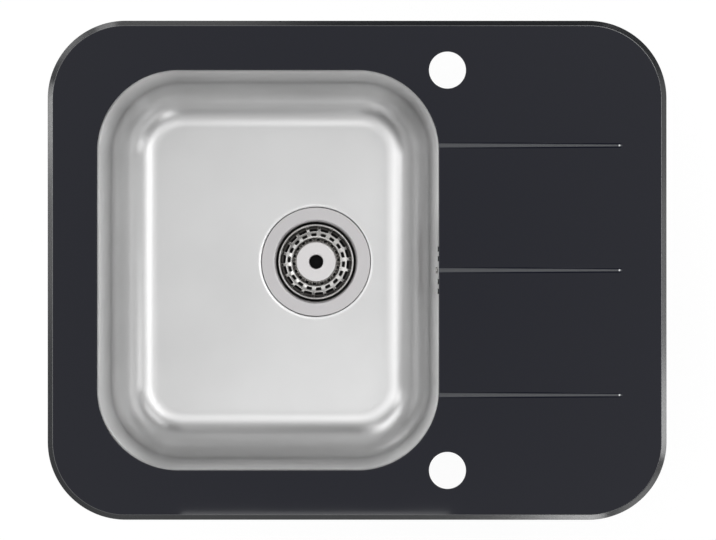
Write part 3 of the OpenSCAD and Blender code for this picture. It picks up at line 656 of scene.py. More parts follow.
@dataclass(frozen=True)
class Ground(Finish):
    """Glass cut by a wheel: a frosted grey stripe that thins out towards a painted white glint at its tip, in
    polished black sides.
    """

    pitch: float = 125 * MM
    tip: tuple[float, float] = (262.8 * MM, 82 * MM)
    half: tuple[float, float] = (0.9 * MM, 2.4 * MM)
    # The painted highlight: a near-white glint at the groove's tip, its radius and its colour.
    painted_glint_r: float = 1.1 * MM
    painted_glint: str = "#E6E8EA"
    clear: str = "#141622"
    gloss: float = 0.05
    specular: tuple[float, float] = (0.1, 0.5)
    grit: float = 0.5 * MM
    depth: float = 0.002 * MM

    def pattern(self, tree: bpy.types.NodeTree) -> dict[str, bpy.types.NodeSocket]:
        """The stripe, with scratches of the wheel's grit along X, and a painted highlight: a white glint at
        the tip.

        The stripe's half width goes evenly with X from the tip to the bowl, and its edge is soft over the
        outer third. The painted glint is what lies nearer to the tip's point than its radius.

        Args:
            tree: The node tree.

        Returns:
            For each input of the shader, the output that feeds it.
        """
        x, y, _ = add(tree, "SeparateXYZ", {0: add(tree, "TexCoord", out="Object")}).node.outputs
        aside = add(tree, "Math", {0: y, 1: self.pitch / 2, 2: -self.pitch / 2}, operation="WRAP")
        half = add(tree, "MapRange", {0: x, 1: self.tip[0], 2: self.tip[1], 3: self.half[0], 4: self.half[1]})
        off = add(tree, "Math", {0: aside}, operation="ABSOLUTE")
        share = add(tree, "Math", {0: off, 1: half}, operation="DIVIDE")
        ground = add(tree, "MapRange", {0: share, 1: 1.1, 2: 0.75})
        ahead = add(tree, "Math", {0: x, 1: self.tip[0]}, operation="SUBTRACT")
        apart = add(tree, "CombineXYZ", {0: ahead, 1: aside})
        reach = add(tree, "VectorMath", {0: apart}, "Value", operation="LENGTH")
        # Painted highlight: near-white close to the tip's point, standing in for a lamp's glint in the
        # groove's end.
        near = add(tree, "MapRange", {0: reach, 1: self.painted_glint_r, 2: 0.7 * self.painted_glint_r})
        striped = add(tree, "Mix", {0: ground, 6: linear(self.clear), 7: linear(self.colour)}, 2,
                      data_type="RGBA")
        with_painted_glint = add(tree, "Mix", {0: near, 6: striped, 7: linear(self.painted_glint)}, 2, data_type="RGBA")
        shine = add(tree, "MapRange", {0: ground, 3: self.specular[0], 4: self.specular[1]})
        scratches = self.grained(tree, self.grit, stretch=(30, 1, 1))
        return {"Base Color": with_painted_glint,
                "Roughness": add(tree, "MapRange", {0: ground, 3: self.gloss, 4: self.roughness}),
                "Specular IOR Level": shine,
                "Normal": add(tree, "Bump", {"Height": scratches, "Distance": self.depth})}


@dataclass(frozen=True)
class Finishes:
    """Every finish of the sink."""

    glass: Finish = Glass("black_glass", "toughened_glass_black_enamel", "#141622", 0.03)
    glass_edge: Finish = Glass("black_glass", "polished_glass_edge", "#1C1E22", 0.14, ior=2.3,
                               ripple=1.6 * MM, detail=1.0, change=0.2, depth=0.003 * MM)
    groove: Finish = Ground("black_glass", "ground_glass_groove", "#484A4E", 0.4)
    bowl: Finish = Steel("bowl_steel", "satin_stainless_drawn", "#E5E5E5", 0.29, shade="#DFDFDF",
                         cloud=110 * MM, gloss_range=0.02, line=8 * MM, line_depth=0.05 * MM)
    # The dish's inside colour is painted shade, darker towards the bottom where little light reaches.
    dish: Finish = Turned("strainer_steel", "turned_stainless_satin", "#CFCDCE", 0.32, inside="#5C5957")
    basket: Finish = Steel("basket_steel", "bright_stainless_pressed", "#C4C2C0", 0.20, cloud=9 * MM)
    crown: Finish = Turned("crown_steel", "turned_stainless_crown", "#E1DFDF", 0.34)
    hub: Finish = Moulded("black_plastic", "moulded_acetal_black", "#08080A", 0.8, dust="#101012")
    screw: Finish = Steel("strainer_steel", "machined_stainless", "#BFBEBC", 0.25, cloud=5 * MM)
    brass: Finish = Steel("brass", "machined_brass", "#C9A24E", 0.28, shade="#B58E3F", cloud=5 * MM)
    rail: Finish = Spangled("galvanised_steel", "galvanised_strip", "#B9BEC0", 0.38)
    zinc: Finish = Steel("zinc_steel", "zinc_plated_steel", "#C3C7CB", 0.30, shade="#AEB4B8", cloud=12 * MM)
    foam: Finish = Foamed("foam_rubber", "closed_cell_foam", "#2A2A2B", 0.9)
    rubber: Finish = Moulded("black_rubber", "moulded_nitrile_rubber", "#151515", 0.6, dust="#242423")
    bond: Finish = Moulded("adhesive", "cured_silicone_adhesive", "#D9D8D2", 0.45, grain=2 * MM,
                           depth=0.1 * MM, dust="#E4E3DF")
    pad: Finish = Foamed("damping_pad", "bitumen_damping_pad", "#34322F", 0.85, cell=1.4 * MM, pore="#1C1B19")
    cup: Finish = Moulded("white_plastic", "moulded_polypropylene_white", "#E9E9E6", 0.36, dust="#F0F0EE")
    box: Finish = Moulded("black_plastic", "moulded_polypropylene_black", "#141416", 0.5, dust="#1E1E20")
    nut: Finish = Moulded("nut_plastic", "moulded_polypropylene_nut", "#E3E4E2", 0.32, dust="#ECECEA")
    hose: Finish = Moulded("hose_plastic", "blown_polyethylene_hose", "#DEDFDC", 0.34, dust="#E8E8E5")


@dataclass
class Dresser:
    """Puts finished pieces on their bodies, in their finishes."""

    finishes: Finishes = field(default_factory=Finishes)
    weld: float = 0.002 * MM
    bend: float = 40.0

    def piece(self, piece: bpy.types.Object, finish: Finish, nodes: Sequence[str], body: str = BODY,
              more: Sequence[Finish] = ()) -> None:
        """Dresses a new piece that stands for some solids.

        Args:
            piece: The new piece.
            finish: Its finish.
            nodes: The solids that it stands for.
            body: The body that it moves with.
            more: Finishes of its other material numbers.
        """
        for each in (finish, *more):
            piece.data.materials.append(each.material())
        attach(piece, body)
        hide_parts(*nodes)
        log.info("%s: %d faces, %s, on %s", piece.name, len(piece.data.polygons), finish.label, body)

    def solid(self, node: str, finish: Finish, edge: float) -> None:
        """Dresses a solid that stays: its finish, and its sharp edges broken by a small bevel.

        Args:
            node: The solid's name.
            finish: Its finish.
            edge: The width of the broken edges.
        """
        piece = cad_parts[node]
        piece.data.materials.clear()
        piece.data.materials.append(finish.material())
        weld = piece.modifiers.new("weld", "WELD")
        weld.merge_threshold = self.weld
        bevel = piece.modifiers.new("broken_edges", "BEVEL")
        bevel.width = edge
        bevel.segments = 2
        bevel.limit_method = "ANGLE"
        bevel.angle_limit = math.radians(self.bend)
        bevel.harden_normals = False
        smooth = piece.modifiers.new("even_light", "WEIGHTED_NORMAL")
        smooth.keep_sharp = False
        log.info("%s: solid kept, %s", node, finish.label)


@dataclass
class GlassTop:
    """The toughened glass panel: bevelled outside, cut out for the bowl, drilled and grooved."""

    dresser: Dresser
    bowl_low: np.ndarray
    bowl_high: np.ndarray
    corner_r: float = 78 * MM
    bevel_w: float = 5 * MM
    bevel_h: float = 1.8 * MM
    arris: float = 0.4 * MM
    ease: float = 0.25 * MM
    margin: float = 20 * MM
    reveal: float = 1.1 * MM
    bowl_corner_r: float = 80 * MM
    flange_w: float = 20 * MM
    hole_r: float = 18.5 * MM
    hole_from_bowl: float = 9.75 * MM
    hole_from_edge: float = 49.5 * MM
    groove_pitch: float = 125 * MM
    groove_r: float = 6 * MM
    groove_tip_depth: float = 0.45 * MM
    groove_bowl_depth: float = 0.95 * MM
    groove_tip_gap: float = 44.5 * MM
    groove_reach: tuple[float, float, float] = (2.7 * MM, 0.005 * MM, 1.2 * MM)
    over: float = 1 * MM
    steps: tuple[int, int] = (56, 12)

    def panel(self) -> None:
        """The pane as one closed ring of profile points from its outer edge over to the cut-out and back."""
        low, high = node_box("glass_top")
        r, a, w, z0, z1 = self.corner_r, self.arris, self.margin, low[2], high[2]
        c = self.bowl_corner_r + self.reveal
        outer = eased([(r - w, z0), (r - a, z0), (r, z0 + a), (r, z1 - self.bevel_h), (r - self.bevel_w, z1),
                       (r - w, z1)], self.ease, 3, closed=False)[1:-1]
        inner = eased([(c + w, z1), (c + a, z1), (c, z1 - a), (c, z0 + a), (c + a, z0), (c + w, z0)],
                      self.ease, 2, closed=False)[1:-1]
        outer_path = corner_path(low, high, r, *self.steps)
        inner_path = corner_path(self.bowl_low, self.bowl_high, self.flange_w + self.bowl_corner_r,
                                 *self.steps)
        points = np.concatenate([carry(outer, outer_path), carry(inner, inner_path)])
        on_edge = (np.arange(len(points)) < len(outer) - 2).astype(int)
        pane = skin("glass_panel", Patch(points, close_rows=True, material=on_edge), shading=Shading.GROUND)
        combine(pane, self.cutters(low, high), shading=Shading.GROUND)
        self.frost(pane, high)
        finishes = self.dresser.finishes
        self.dresser.piece(pane, finishes.glass, ["glass_top"], more=[finishes.glass_edge, finishes.groove])

    def frost(self, pane: bpy.types.Object, high: np.ndarray) -> None:
        """Gives the third material to the grooves' faces: those just below the top, in line with a groove.

        Args:
            pane: The pane.
            high: Its highest corner.
        """
        count = len(pane.data.polygons)
        centre, kind = np.empty(3 * count), np.empty(count, np.int32)
        pane.data.polygons.foreach_get("center", centre)
        pane.data.polygons.foreach_get("material_index", kind)
        x, y, z = centre.reshape(-1, 3).T
        aside = np.abs(y - self.groove_pitch * np.clip(np.round(y / self.groove_pitch), -1, 1))
        half, least, most = self.groove_reach
        kind[(aside < half) & (z < high[2] - least) & (z > high[2] - most)
             & (x > self.bowl_high[0] - self.flange_w + 3 * self.reveal)
             & (x < high[0] - self.groove_tip_gap + self.over)] = 2
        pane.data.polygons.foreach_set("material_index", kind)

    def cutters(self, low: np.ndarray, high: np.ndarray) -> bpy.types.Object:
        """The drills and the grinding wheel's paths.

        Args:
            low: The pane's lowest corner.
            high: Its highest corner.

        Returns:
            One mesh of all the tools, in the edge's material.
        """
        a, over, r, z0, z1 = self.arris, self.over, self.hole_r, low[2], high[2]
        bowl_right = self.bowl_high[0] - self.flange_w
        drill = np.array([(0, z0 - over), (r + a + over, z0 - over), (r, z0 + a), (r, z1 - a),
                          (r + a + over, z1 + over), (0, z1 + over)])
        hole_y = high[1] - self.hole_from_edge
        patches = [lathe(drill, 96, False, (bowl_right + self.hole_from_bowl, y)) for y in (-hole_y, hole_y)]
        tip_half = math.sqrt(self.groove_r ** 2 - (self.groove_r - self.groove_tip_depth) ** 2)
        axle = z1 + self.groove_r - self.groove_tip_depth
        tip = np.array([high[0] - self.groove_tip_gap - tip_half, 0, axle])
        length = tip[0] - bowl_right
        tilt = math.atan2(self.groove_bowl_depth - self.groove_tip_depth, length)
        c, s = math.cos(tilt), math.sin(tilt)
        axes = np.array([(0, 1, 0), (-s, 0, c), (-c, 0, -s)])
        rounding = arc((0, 0), self.groove_r, 0, -90, 24)
        wheel = np.concatenate([[(0, length), (self.groove_r, length)], rounding])
        bar = carry(wheel, ring_path((0, 0), 144)) @ axes
        patches += [Patch(bar + tip + [0, k * self.groove_pitch, 0]) for k in (-1, 0, 1)]
        tool = skin("cutters", *patches)
        for material in (self.dresser.finishes.glass, self.dresser.finishes.glass_edge):
            tool.data.materials.append(material.material())
        tool.data.polygons.foreach_set("material_index", np.ones(len(tool.data.polygons), np.int32))
        return tool


@dataclass
class Bowl:
    """The drawn steel bowl: bonding flange, rolled lip, drafted walls, floor with a drain recess."""

    dresser: Dresser
    low: np.ndarray
    high: np.ndarray
    sheet: float = 0.8 * MM
    corner_r: float = 80 * MM
    flange_w: float = 20 * MM
    lip_r: float = 6 * MM
    draft: float = 2.5
    floor_r: float = 48 * MM
    recess_h: float = 2 * MM
    recess_r: float = 56.5 * MM
    recess_ease: float = 1.6 * MM
    brim_w: float = 3.4 * MM
    brim_h: float = 0.5 * MM
    brim_gap: float = 0.3 * MM
    brim_margin: float = 4 * MM
    hole_r: float = 45 * MM
    slot_w: float = 5.6 * MM
    slot_h: float = 11 * MM
    slot_r: float = 1.2 * MM
    slot_drop: float = 2.4 * MM
    slot_first: float = 11.5 * MM
    slot_pitch: float = 9.7 * MM
    slot_reach: tuple[float, float] = (-5 * MM, 7 * MM)
    screw_r: float = 2.15 * MM
    corner_steps: int = 48
    side_steps: int = 40

    def wall(self, t: float) -> np.ndarray:
        """The section of one skin, from the flange's edge to the foot of the wall's fillet.

        The lip is a quarter turn less the draft about its middle, the wall a straight line tangent to it,
        and the fillet an arc tangent to the wall and to the floor.

        Args:
            t: How far the skin lies outside the inner one.

        Returns:
            Rows of radius and height.
        """
        lip = np.array([self.corner_r + self.lip_r, self.high[2] - self.lip_r])
        slope = math.radians(self.draft)
        start = lip + self.lip_r * np.array([-math.cos(slope), math.sin(slope)])
        rise = self.low[2] + self.sheet + self.recess_h + self.floor_r
        x = start[0] - (self.floor_r - (rise - start[1]) * math.sin(slope)) / math.cos(slope)
        fillet = arc((x, rise), self.floor_r + t, -self.draft, -90, 40)
        lip_arc = arc(lip, self.lip_r - t, 90, 180 - self.draft, 10)
        between = np.linspace(lip_arc[-1], fillet[0], 16)[1:-1]
        return np.concatenate([[(self.corner_r + self.flange_w, self.high[2] - t)], lip_arc, between, fillet])

    def skin_rows(self, t: float) -> np.ndarray:
        """One skin of the bowl: the wall's section round the corners, the floor, and the drain's recess.

        Between the wall's foot and the recess each floor point slides in a straight line, at an even
        height, to the point of the recess's circle that lies in the same direction from the drain. The
        floor dips over a gentle brim to the flange's edge and drops to the recess behind that edge.

        Args:
            t: How far the skin lies outside the inner one.

        Returns:
            A grid of points.
        """
        wall = carry(self.wall(t), corner_path(self.low, self.high, self.flange_w + self.corner_r,
                                               self.corner_steps, self.side_steps))
        foot = wall[-1]
        floor = self.low[2] + self.sheet + self.recess_h - t
        away = foot[:, :2] - DRAIN
        away /= np.linalg.norm(away, axis=1, keepdims=True)
        brim_r, foot_r = self.recess_r + self.brim_w, self.recess_r + t
        rim = eased([(brim_r + self.brim_margin, floor), (brim_r, floor),
                     (foot_r + self.brim_gap, floor - self.brim_h), (foot_r, floor - self.recess_h),
                     (self.hole_r, floor - self.recess_h)], self.recess_ease, 6, closed=False)
        ring = carry(rim, np.column_stack([np.broadcast_to(DRAIN, away.shape), away]))
        share = np.linspace(0, 1, 14)[1:-1, None, None]
        return np.concatenate([wall, (1 - share) * foot[None] + share * ring[:1], ring])

    def slots(self) -> bpy.types.Object:
        """The tool for the overflow slots and the screw hole, all upright outlines drawn out along X.

        Returns:
            The cutting mesh.
        """
        r = self.slot_r
        middle = self.high[2] - self.slot_drop - self.slot_h / 2
        across, up = self.slot_w / 2 - r, self.slot_h / 2 - r
        corners = [(across, up), (-across, up), (-across, -up), (across, -up)]
        outline = np.concatenate([arc(c, r, 90 * k, 90 * k + 90, 6) for k, c in enumerate(corners)])
        places = [(s * (self.slot_first + i * self.slot_pitch), outline) for s in (-1, 1) for i in (0, 1)]
        near, far = (self.high[0] - self.flange_w + reach for reach in self.slot_reach)
        patches = []
        for y, shape in [*places, (0.0, arc((0, 0), self.screw_r, 0, 360, 32)[:-1])]:
            centre = np.broadcast_to(shape.mean(0), shape.shape)
            levels = ((centre, near), (shape, near), (shape, far), (centre, far))
            rows = [np.column_stack([np.full(len(ring), x), y + ring[:, 0], middle + ring[:, 1]])
                    for ring, x in levels]
            patches.append(Patch(np.stack(rows)))
        return skin("slot_tool", *patches)

    def shell(self) -> None:
        """The bowl as one closed sheet: inner skin out and outer skin back."""
        rows = np.concatenate([self.skin_rows(0), self.skin_rows(self.sheet)[::-1]])
        bowl = skin("bowl_shell", Patch(rows, close_rows=True))
        combine(bowl, self.slots())
        self.dresser.piece(bowl, self.dresser.finishes.bowl, ["bowl"])


@dataclass
class Strainer:
    """The waste's steel dish and the lift-out basket with its crown, hub and plug seal."""

    dresser: Dresser
    sheet: float = 1 * MM
    flange_trim: float = 0.6 * MM
    flange_ease: float = 0.4 * MM
    throat_r: float = 41.5 * MM
    throat_roll: float = 3 * MM
    foot_r: float = 39.5 * MM
    foot_roll: float = 5 * MM
    floor_hole_r: float = 26 * MM
    spider_t: float = 2 * MM
    spider_hole_r: float = 3.3 * MM
    boss_r: float = 9 * MM
    arm_reach: float = 29 * MM
    arm_half: float = 4 * MM
    basket_sheet: float = 0.7 * MM
    bead_r: float = 1.2 * MM
    wall_lean: float = 2.4 * MM
    shoulder_r: float = 3.2 * MM
    ring_dish_r: float = 39 * MM
    ring_slope: float = 20.0
    ring_inset: float = 4.2 * MM
    centre_inset: float = 0.7 * MM
    centre_drop: float = 1 * MM
    hub_r: float = 12 * MM
    lead: float = 5.0
    slots: int = 18
    slot_top: float = 10 * MM
    slot_gaps: tuple[float, float, float] = (2.3 * MM, 3.2 * MM, 3.8 * MM)
    slot_halves: tuple[float, float] = (1.4 * MM, 1.3 * MM)
    inner_widths: tuple[Point, Point] = ((25.5 * MM, 31 * MM), (1.5 * MM, 0.9 * MM))
    outer_widths: tuple[Point, Point] = ((29.8 * MM, 32 * MM), (2.5 * MM, 4 * MM))
    clearance: float = 0.45 * MM
    crown_sheet: float = 0.8 * MM
    crown_edge: float = 1.1 * MM
    finger_r: float = 6.9 * MM
    finger_roll: float = 1.5 * MM
    socket_r: float = 8.5 * MM
    socket_h: float = 7 * MM
    web: float = 2 * MM
    ease: float = 0.3 * MM

    def dish(self) -> None:
        """The turned dish: flange with an eased rim, rolled throat, tapered wall, round foot and spider."""
        low, high = node_box("strainer_dish")
        flange, z, e = (high - low)[0] / 2 - self.flange_trim, high[2], self.flange_ease
        under = low[2] + self.spider_t
        bottom, throat = under + self.sheet, self.throat_r + self.throat_roll
        profile = np.concatenate([
            arc((flange - e, z - e), e, 20, 90, 5),
            [(flange - 0.5 * MM, z), (throat + 0.2 * MM, z)],
            arc((throat, z - self.throat_roll), self.throat_roll, 90, 180, 10),
            arc((self.foot_r - self.foot_roll, bottom + self.foot_roll), self.foot_roll, 0, -90, 8),
            [(self.floor_hole_r, bottom)]])
        dish = skin("strainer_body", lathe(band(profile, self.sheet), 144))
        combine(dish, self.spider(under), "UNION")
        self.dresser.piece(dish, self.dresser.finishes.dish, ["strainer_dish"])

    def spider(self, top: float) -> bpy.types.Object:
        """The three-armed cross piece under the dish, with the bolt's hole.

        Args:
            top: The height of its upper face.

        Returns:
            The new closed object.
        """
        hole, low, half = self.spider_hole_r, top - self.spider_t, self.arm_half
        ring = eased([(hole, top), (self.boss_r, top), (self.boss_r, low), (hole, low)], self.ease, 2)
        spider = skin("spider", lathe(ring, 48))
        start = hole + 1 * MM
        arm = eased([(start, -half), (self.arm_reach, -half), (self.arm_reach, half), (start, half)],
                    0.8 * MM, 3)
        for turn in (0, 120, 240):
            combine(spider, prism(arm, low, top, DRAIN, turn), "UNION")
        return spider

    def basket(self) -> None:
        """The pressed basket: a sheet over a grid that follows the slots' edges, with their cells left out.

        The section is the rim's curl, the wall, the shoulder, a ring dished to a large radius that carries
        two rows of slots, and the rise to the centre with the third row. Columns lie at a fixed width from
        each slot's middle, so their angle is that width over the radius.
        """
        low, high = node_box("basket")
        crown_low, crown_high = node_box("basket_crown")
        crown_r, half = (crown_high - crown_low)[0] / 2, self.basket_sheet / 2
        rim = np.array([(high - low)[0] / 2, high[2]]) - self.bead_r
        foot, floor = rim[0] - self.wall_lean, low[2] + self.basket_sheet
        slope = math.radians(self.ring_slope)
        reach = self.ring_dish_r - self.shoulder_r
        ring = np.array([foot - self.shoulder_r - reach * math.sin(slope), floor + self.ring_dish_r])
        shoulder = ring + reach * np.array([math.sin(slope), -math.cos(slope)])
        ring_in_r = crown_r + self.ring_inset
        start = math.degrees(math.asin((ring_in_r - ring[0]) / self.ring_dish_r))
        centre_z = crown_low[2] - self.centre_drop
        rise = eased([(ring_in_r + 2 * MM, floor + 0.5 * MM), (ring_in_r, floor + 0.3 * MM),
                      (crown_r - self.centre_inset, centre_z), (self.hub_r, centre_z)],
                     0.6 * MM, 4, closed=False)
        upper = np.concatenate([arc(shoulder, self.shoulder_r, 0, self.ring_slope - 90, 12),
                                arc(ring, self.ring_dish_r, self.ring_slope - 92, start - 87.5, 12),
                                rise[2:]])
        curl = arc(rim, self.bead_r - half, -90, 180, 12)
        profile = np.concatenate([curl, moved_aside(upper, half)])
        walk = np.concatenate([[0], np.cumsum(np.linalg.norm(np.diff(profile, axis=0), axis=1))])
        bend = len(curl)

        def at_radius(radius: float) -> float:
            """The distance along the section at which it passes a radius, inwards of the curl."""
            return float(np.interp(-radius, -profile[bend:, 0], walk[bend:]))

        wall_top, wall_foot = profile[bend - 1, 1], profile[bend, 1]
        share = (wall_top - floor - self.slot_top) / (wall_top - wall_foot)
        top = float(walk[bend - 1] + share * (walk[bend] - walk[bend - 1]))
        inner_gap, middle_gap, outer_gap = self.slot_gaps
        square, short = self.slot_halves
        inner_r, middle_r = crown_r + inner_gap, ring_in_r + middle_gap
        slots = [(top, at_radius(middle_r + outer_gap), 1),
                 (at_radius(middle_r + short), at_radius(middle_r - short), 1),
                 (at_radius(inner_r + square), at_radius(inner_r - square), 0)]
        marks = np.array([mark for slot in slots for mark in slot[:2]])
        even = np.linspace(walk[bend - 1], walk[-1], 64)
        clear = np.min(np.abs(even[:, None] - marks[None]), axis=1) > self.clearance
        stations = np.sort(np.concatenate([walk[:bend - 1], even[clear], marks]))
        section = np.column_stack([np.interp(stations, walk, profile[:, k]) for k in (0, 1)])
        radius = section[:, 0]
        step, lead = 2 * np.pi / self.slots, math.radians(self.lead)
        inner_half = np.interp(radius, *self.inner_widths) / radius
        outer_half = np.interp(radius, *self.outer_widths) / radius
        lines = np.stack([lead + share * inner_half for share in (-1, 0, 1)]
                         + [lead + step / 2 + share * outer_half for share in (-1, -0.5, 0, 0.5, 1)], 1)
        angle = (lines[:, None, :] + step * np.arange(self.slots)[None, :, None]).reshape(len(radius), -1)
        points = np.stack([DRAIN[0] + radius[:, None] * np.cos(angle),
                           DRAIN[1] + radius[:, None] * np.sin(angle),
                           np.broadcast_to(section[:, 1:], angle.shape)], -1)
        column = np.arange(angle.shape[1]) % lines.shape[1]
        between = (stations[1:] + stations[:-1]) / 2
        keep = np.ones((len(between), len(column)), bool)
        for start, end, row in slots:
            inside = (between > start) & (between < end)
            keep[np.ix_(inside, (column >= 3) & (column < 7) if row else column < 2)] = False
        sheet = skin("strainer_basket", Patch(points, keep=keep), shading=Shading.ROUND)
        wall = sheet.modifiers.new("sheet", "SOLIDIFY")
        wall.thickness = self.basket_sheet
        wall.offset = 0
        finer = sheet.modifiers.new("pressed", "SUBSURF")
        finer.levels = finer.render_levels = 1
        apply_modifiers(sheet)
        shade(sheet, Shading.ROUND)
        self.dresser.piece(sheet, self.dresser.finishes.basket, ["basket"], LIFT_BODY)

    def crown(self) -> None:
        """The pressed crown: turned-down skirt, round edge, flat top and a rolled finger hole."""
        low, high = node_box("basket_crown")
        r, z, e, roll, flat = (high - low)[0] / 2, high[2], self.crown_edge, self.finger_roll, 0.1 * MM
        profile = np.concatenate([[(r, low[2])], arc((r - e, z - e), e, 0, 90, 10),
                                  [(r - e - flat, z), (self.finger_r + roll + flat, z)],
                                  arc((self.finger_r + roll, z - roll), roll, 90, 180, 8)])
        crown = skin("strainer_crown", lathe(band(profile, self.crown_sheet), 96))
        self.dresser.piece(crown, self.dresser.finishes.crown, ["basket_crown"], LIFT_BODY)

    def hub(self) -> None:
        """The moulded hub: collar under the basket, a blind bore under the crown and a socket below."""
        low, high = node_box("basket_hub")
        r, collar, socket, z0, z1 = self.hub_r, (high - low)[0] / 2, self.socket_r, low[2], high[2]
        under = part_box("basket_crown")[0].z - self.centre_drop - self.basket_sheet
        seal_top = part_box("plug_seal")[1].z
        bore, floor = self.finger_r + self.finger_roll + self.ease, z0 + self.socket_h
        outline = eased([(0, floor), (socket, floor), (socket, z0), (r, z0), (r, seal_top),
                         (collar, seal_top), (collar, under), (r, under), (r, z1), (bore, z1),
                         (bore, floor + self.web), (0, floor + self.web)], 0.4 * MM, 3, closed=False)
        hub = skin("strainer_hub", lathe(outline, 72, False))
        self.dresser.piece(hub, self.dresser.finishes.hub, ["basket_hub"], LIFT_BODY)

    def seal(self) -> None:
        """The plug seal: a thin rubber lip that thickens to the hub."""
        low, high = node_box("plug_seal")
        r, z0, z1 = (high - low)[0] / 2, low[2], high[2]
        outline = eased([(self.hub_r, z0), (r - 3 * MM, z0), (r, z0 + 0.6 * MM), (r, z0 + 1.6 * MM),
                         (18 * MM, z1), (self.hub_r, z1)], self.ease, 3)
        seal = skin("strainer_plug_seal", lathe(outline, 96))
        self.dresser.piece(seal, self.dresser.finishes.rubber, ["plug_seal"], LIFT_BODY)

    def build(self) -> None:
        """Makes the strainer's pieces."""
        for make in (self.dish, self.basket, self.crown, self.hub, self.seal):
            make()


def threaded(radius: float, low: float, high: float, pitch: float, centre: Point, sides: int,
             steps: int) -> np.ndarray:
    """A right-hand thread on an upright rod, its ends run out to the root.

    The radius is the outside radius less the thread's depth times a rounded wave of height over pitch less
    turn; near both ends the depth grows to the full root, as a die's run-out does.

    Args:
        radius: The thread's outside radius.
        low: The lower end's height.
        high: The upper end's height.
        pitch: Distance between turns.
        centre: The rod's axis.
        sides: Points to a turn.
        steps: Rows to a pitch.

    Returns:
        A grid of points.
    """
    rows = max(2, round((high - low) / pitch * steps)) + 1
    z = np.linspace(low, high, rows)[:, None]
    turn = np.linspace(0, 1, sides, endpoint=False)[None]
    wave = 0.5 - 0.5 * np.cos(2 * np.pi * ((z - low) / pitch - turn))
    full = 0.6 * pitch
    depth = full * np.clip(wave * 1.3 - 0.15, 0, 1)
    end = np.clip(np.minimum(z - low, high - z) / pitch, 0, 1)
    r = radius - (depth * end + full * (1 - end))
    angle = 2 * np.pi * turn
    x, y = centre[0] + r * np.cos(angle), centre[1] + r * np.sin(angle)
    return np.stack([x, y, np.broadcast_to(z, r.shape)], -1)


@dataclass
class Waste:
    """The moulded cup under the bowl with its threaded outlet, bolt boss and overflow inlet."""

    dresser: Dresser
    wall: float = 3 * MM
    rim_t: float = 4 * MM
    cup_r: float = 46 * MM
    outlet_h: float = 26 * MM
    cone_h: float = 10 * MM
    outlet_r: float = 23.9 * MM
    bore_r: float = 20.5 * MM
    thread_pitch: float = 2.31 * MM
    inlet_l: float = 20 * MM
    inlet_r: float = 11 * MM
    inlet_bore: float = 8 * MM
    boss_r: float = 7.5 * MM
    boss_h: float = 16 * MM
    bolt_r: float = 3.3 * MM
    insert_r: float = 5.15 * MM
    rib_half: float = 1.5 * MM
    fillet: float = 1.5 * MM
    round_r: float = 3 * MM
    over: float = 1 * MM

    def cup(self, z0: float, z1: float, rim_r: float, floor: float) -> bpy.types.Object:
        """The cup and its outlet as one closed ring of rows: outside, thread and inside.

        Args:
            z0: The outlet's lower end.
            z1: The rim's top.
            rim_r: The rim's radius.
            floor: The height of the cup's floor.

        Returns:
            The new closed object.
        """
        under, ro, c = floor - self.wall, self.cup_r + self.wall, self.round_r
        outside = eased([(rim_r, z1), (rim_r, z1 - self.rim_t), (ro + self.fillet, z1 - self.rim_t),
                         (ro, z1 - self.rim_t - self.fillet), (ro, under + c), (ro - c, under),
                         (self.outlet_r + 2 * MM, under - self.cone_h + 1 * MM)],
                        self.fillet, 4, closed=False)
        inside = eased([(self.bore_r, z0), (self.bore_r, floor - self.cone_h), (self.cup_r - c, floor),
                        (self.cup_r, floor + c), (self.cup_r, z1), (rim_r, z1)], 1 * MM, 4, closed=False)[:-1]
        thread = threaded(self.outlet_r, z0, under - self.cone_h, self.thread_pitch, DRAIN, 120, 10)
        ring = ring_path(DRAIN, 120)
        rows = np.concatenate([carry(outside, ring), thread[::-1], carry(inside, ring)])
        return skin("waste_cup", Patch(rows, close_rows=True))

    def body(self) -> None:
        """The cup joined by its inlet, boss and ribs, then bored for the inlet and the bolt."""
        low, high = node_box("waste_body")
        nut = node_box("hose_nut_lower").mean(0)
        floor = low[2] + self.outlet_h + self.cone_h
        cup = self.cup(low[2], high[2], DRAIN[0] - low[0], floor)
        away = nut[:2] - DRAIN
        away /= np.linalg.norm(away)
        axes = np.array([(-away[1], away[0], 0), (0, 0, 1), (*away, 0)])
        end = self.cup_r + self.wall + self.inlet_l
        for radius, start, stop, ease, operation in (
                (self.inlet_r, self.cup_r + 1 * MM, end, 0.6 * MM, "UNION"),
                (self.inlet_bore, self.cup_r - 6 * MM, end + self.over, 0.01 * MM, "DIFFERENCE")):
            outline = eased([(0, start), (radius, start), (radius, stop), (0, stop)], ease, 3, closed=False)
            tube = np.array([*DRAIN, nut[2]]) + carry(outline, ring_path((0, 0), 64)) @ axes
            combine(cup, skin("inlet", Patch(tube)), operation)
        top, boss_r, b = floor - self.cone_h, self.boss_r, self.rib_half
        foot = top - self.boss_h
        boss = eased([(0, top), (boss_r, top), (boss_r - 0.3 * MM, foot), (0, foot)],
                     0.8 * MM, 3, closed=False)
        combine(cup, skin("boss", lathe(boss, 48, False)), "UNION")
        start, stop = 2 * MM, self.bore_r + 1 * MM
        rib = [(start, -b), (stop, -b), (stop, b), (start, b)]
        for turn in (60, 180, 300):
            combine(cup, prism(rib, foot, top - 2 * MM, DRAIN, turn, 0.3 * MM), "UNION")
        step = top - self.boss_h / 2
        hole = np.array([(0, foot - self.over), (self.insert_r, foot - self.over), (self.insert_r, step),
                         (self.bolt_r, step), (self.bolt_r, top + self.over), (0, top + self.over)])
        combine(cup, skin("hole", lathe(hole, 48, False)))
        self.dresser.piece(cup, self.dresser.finishes.cup, ["waste_body"])


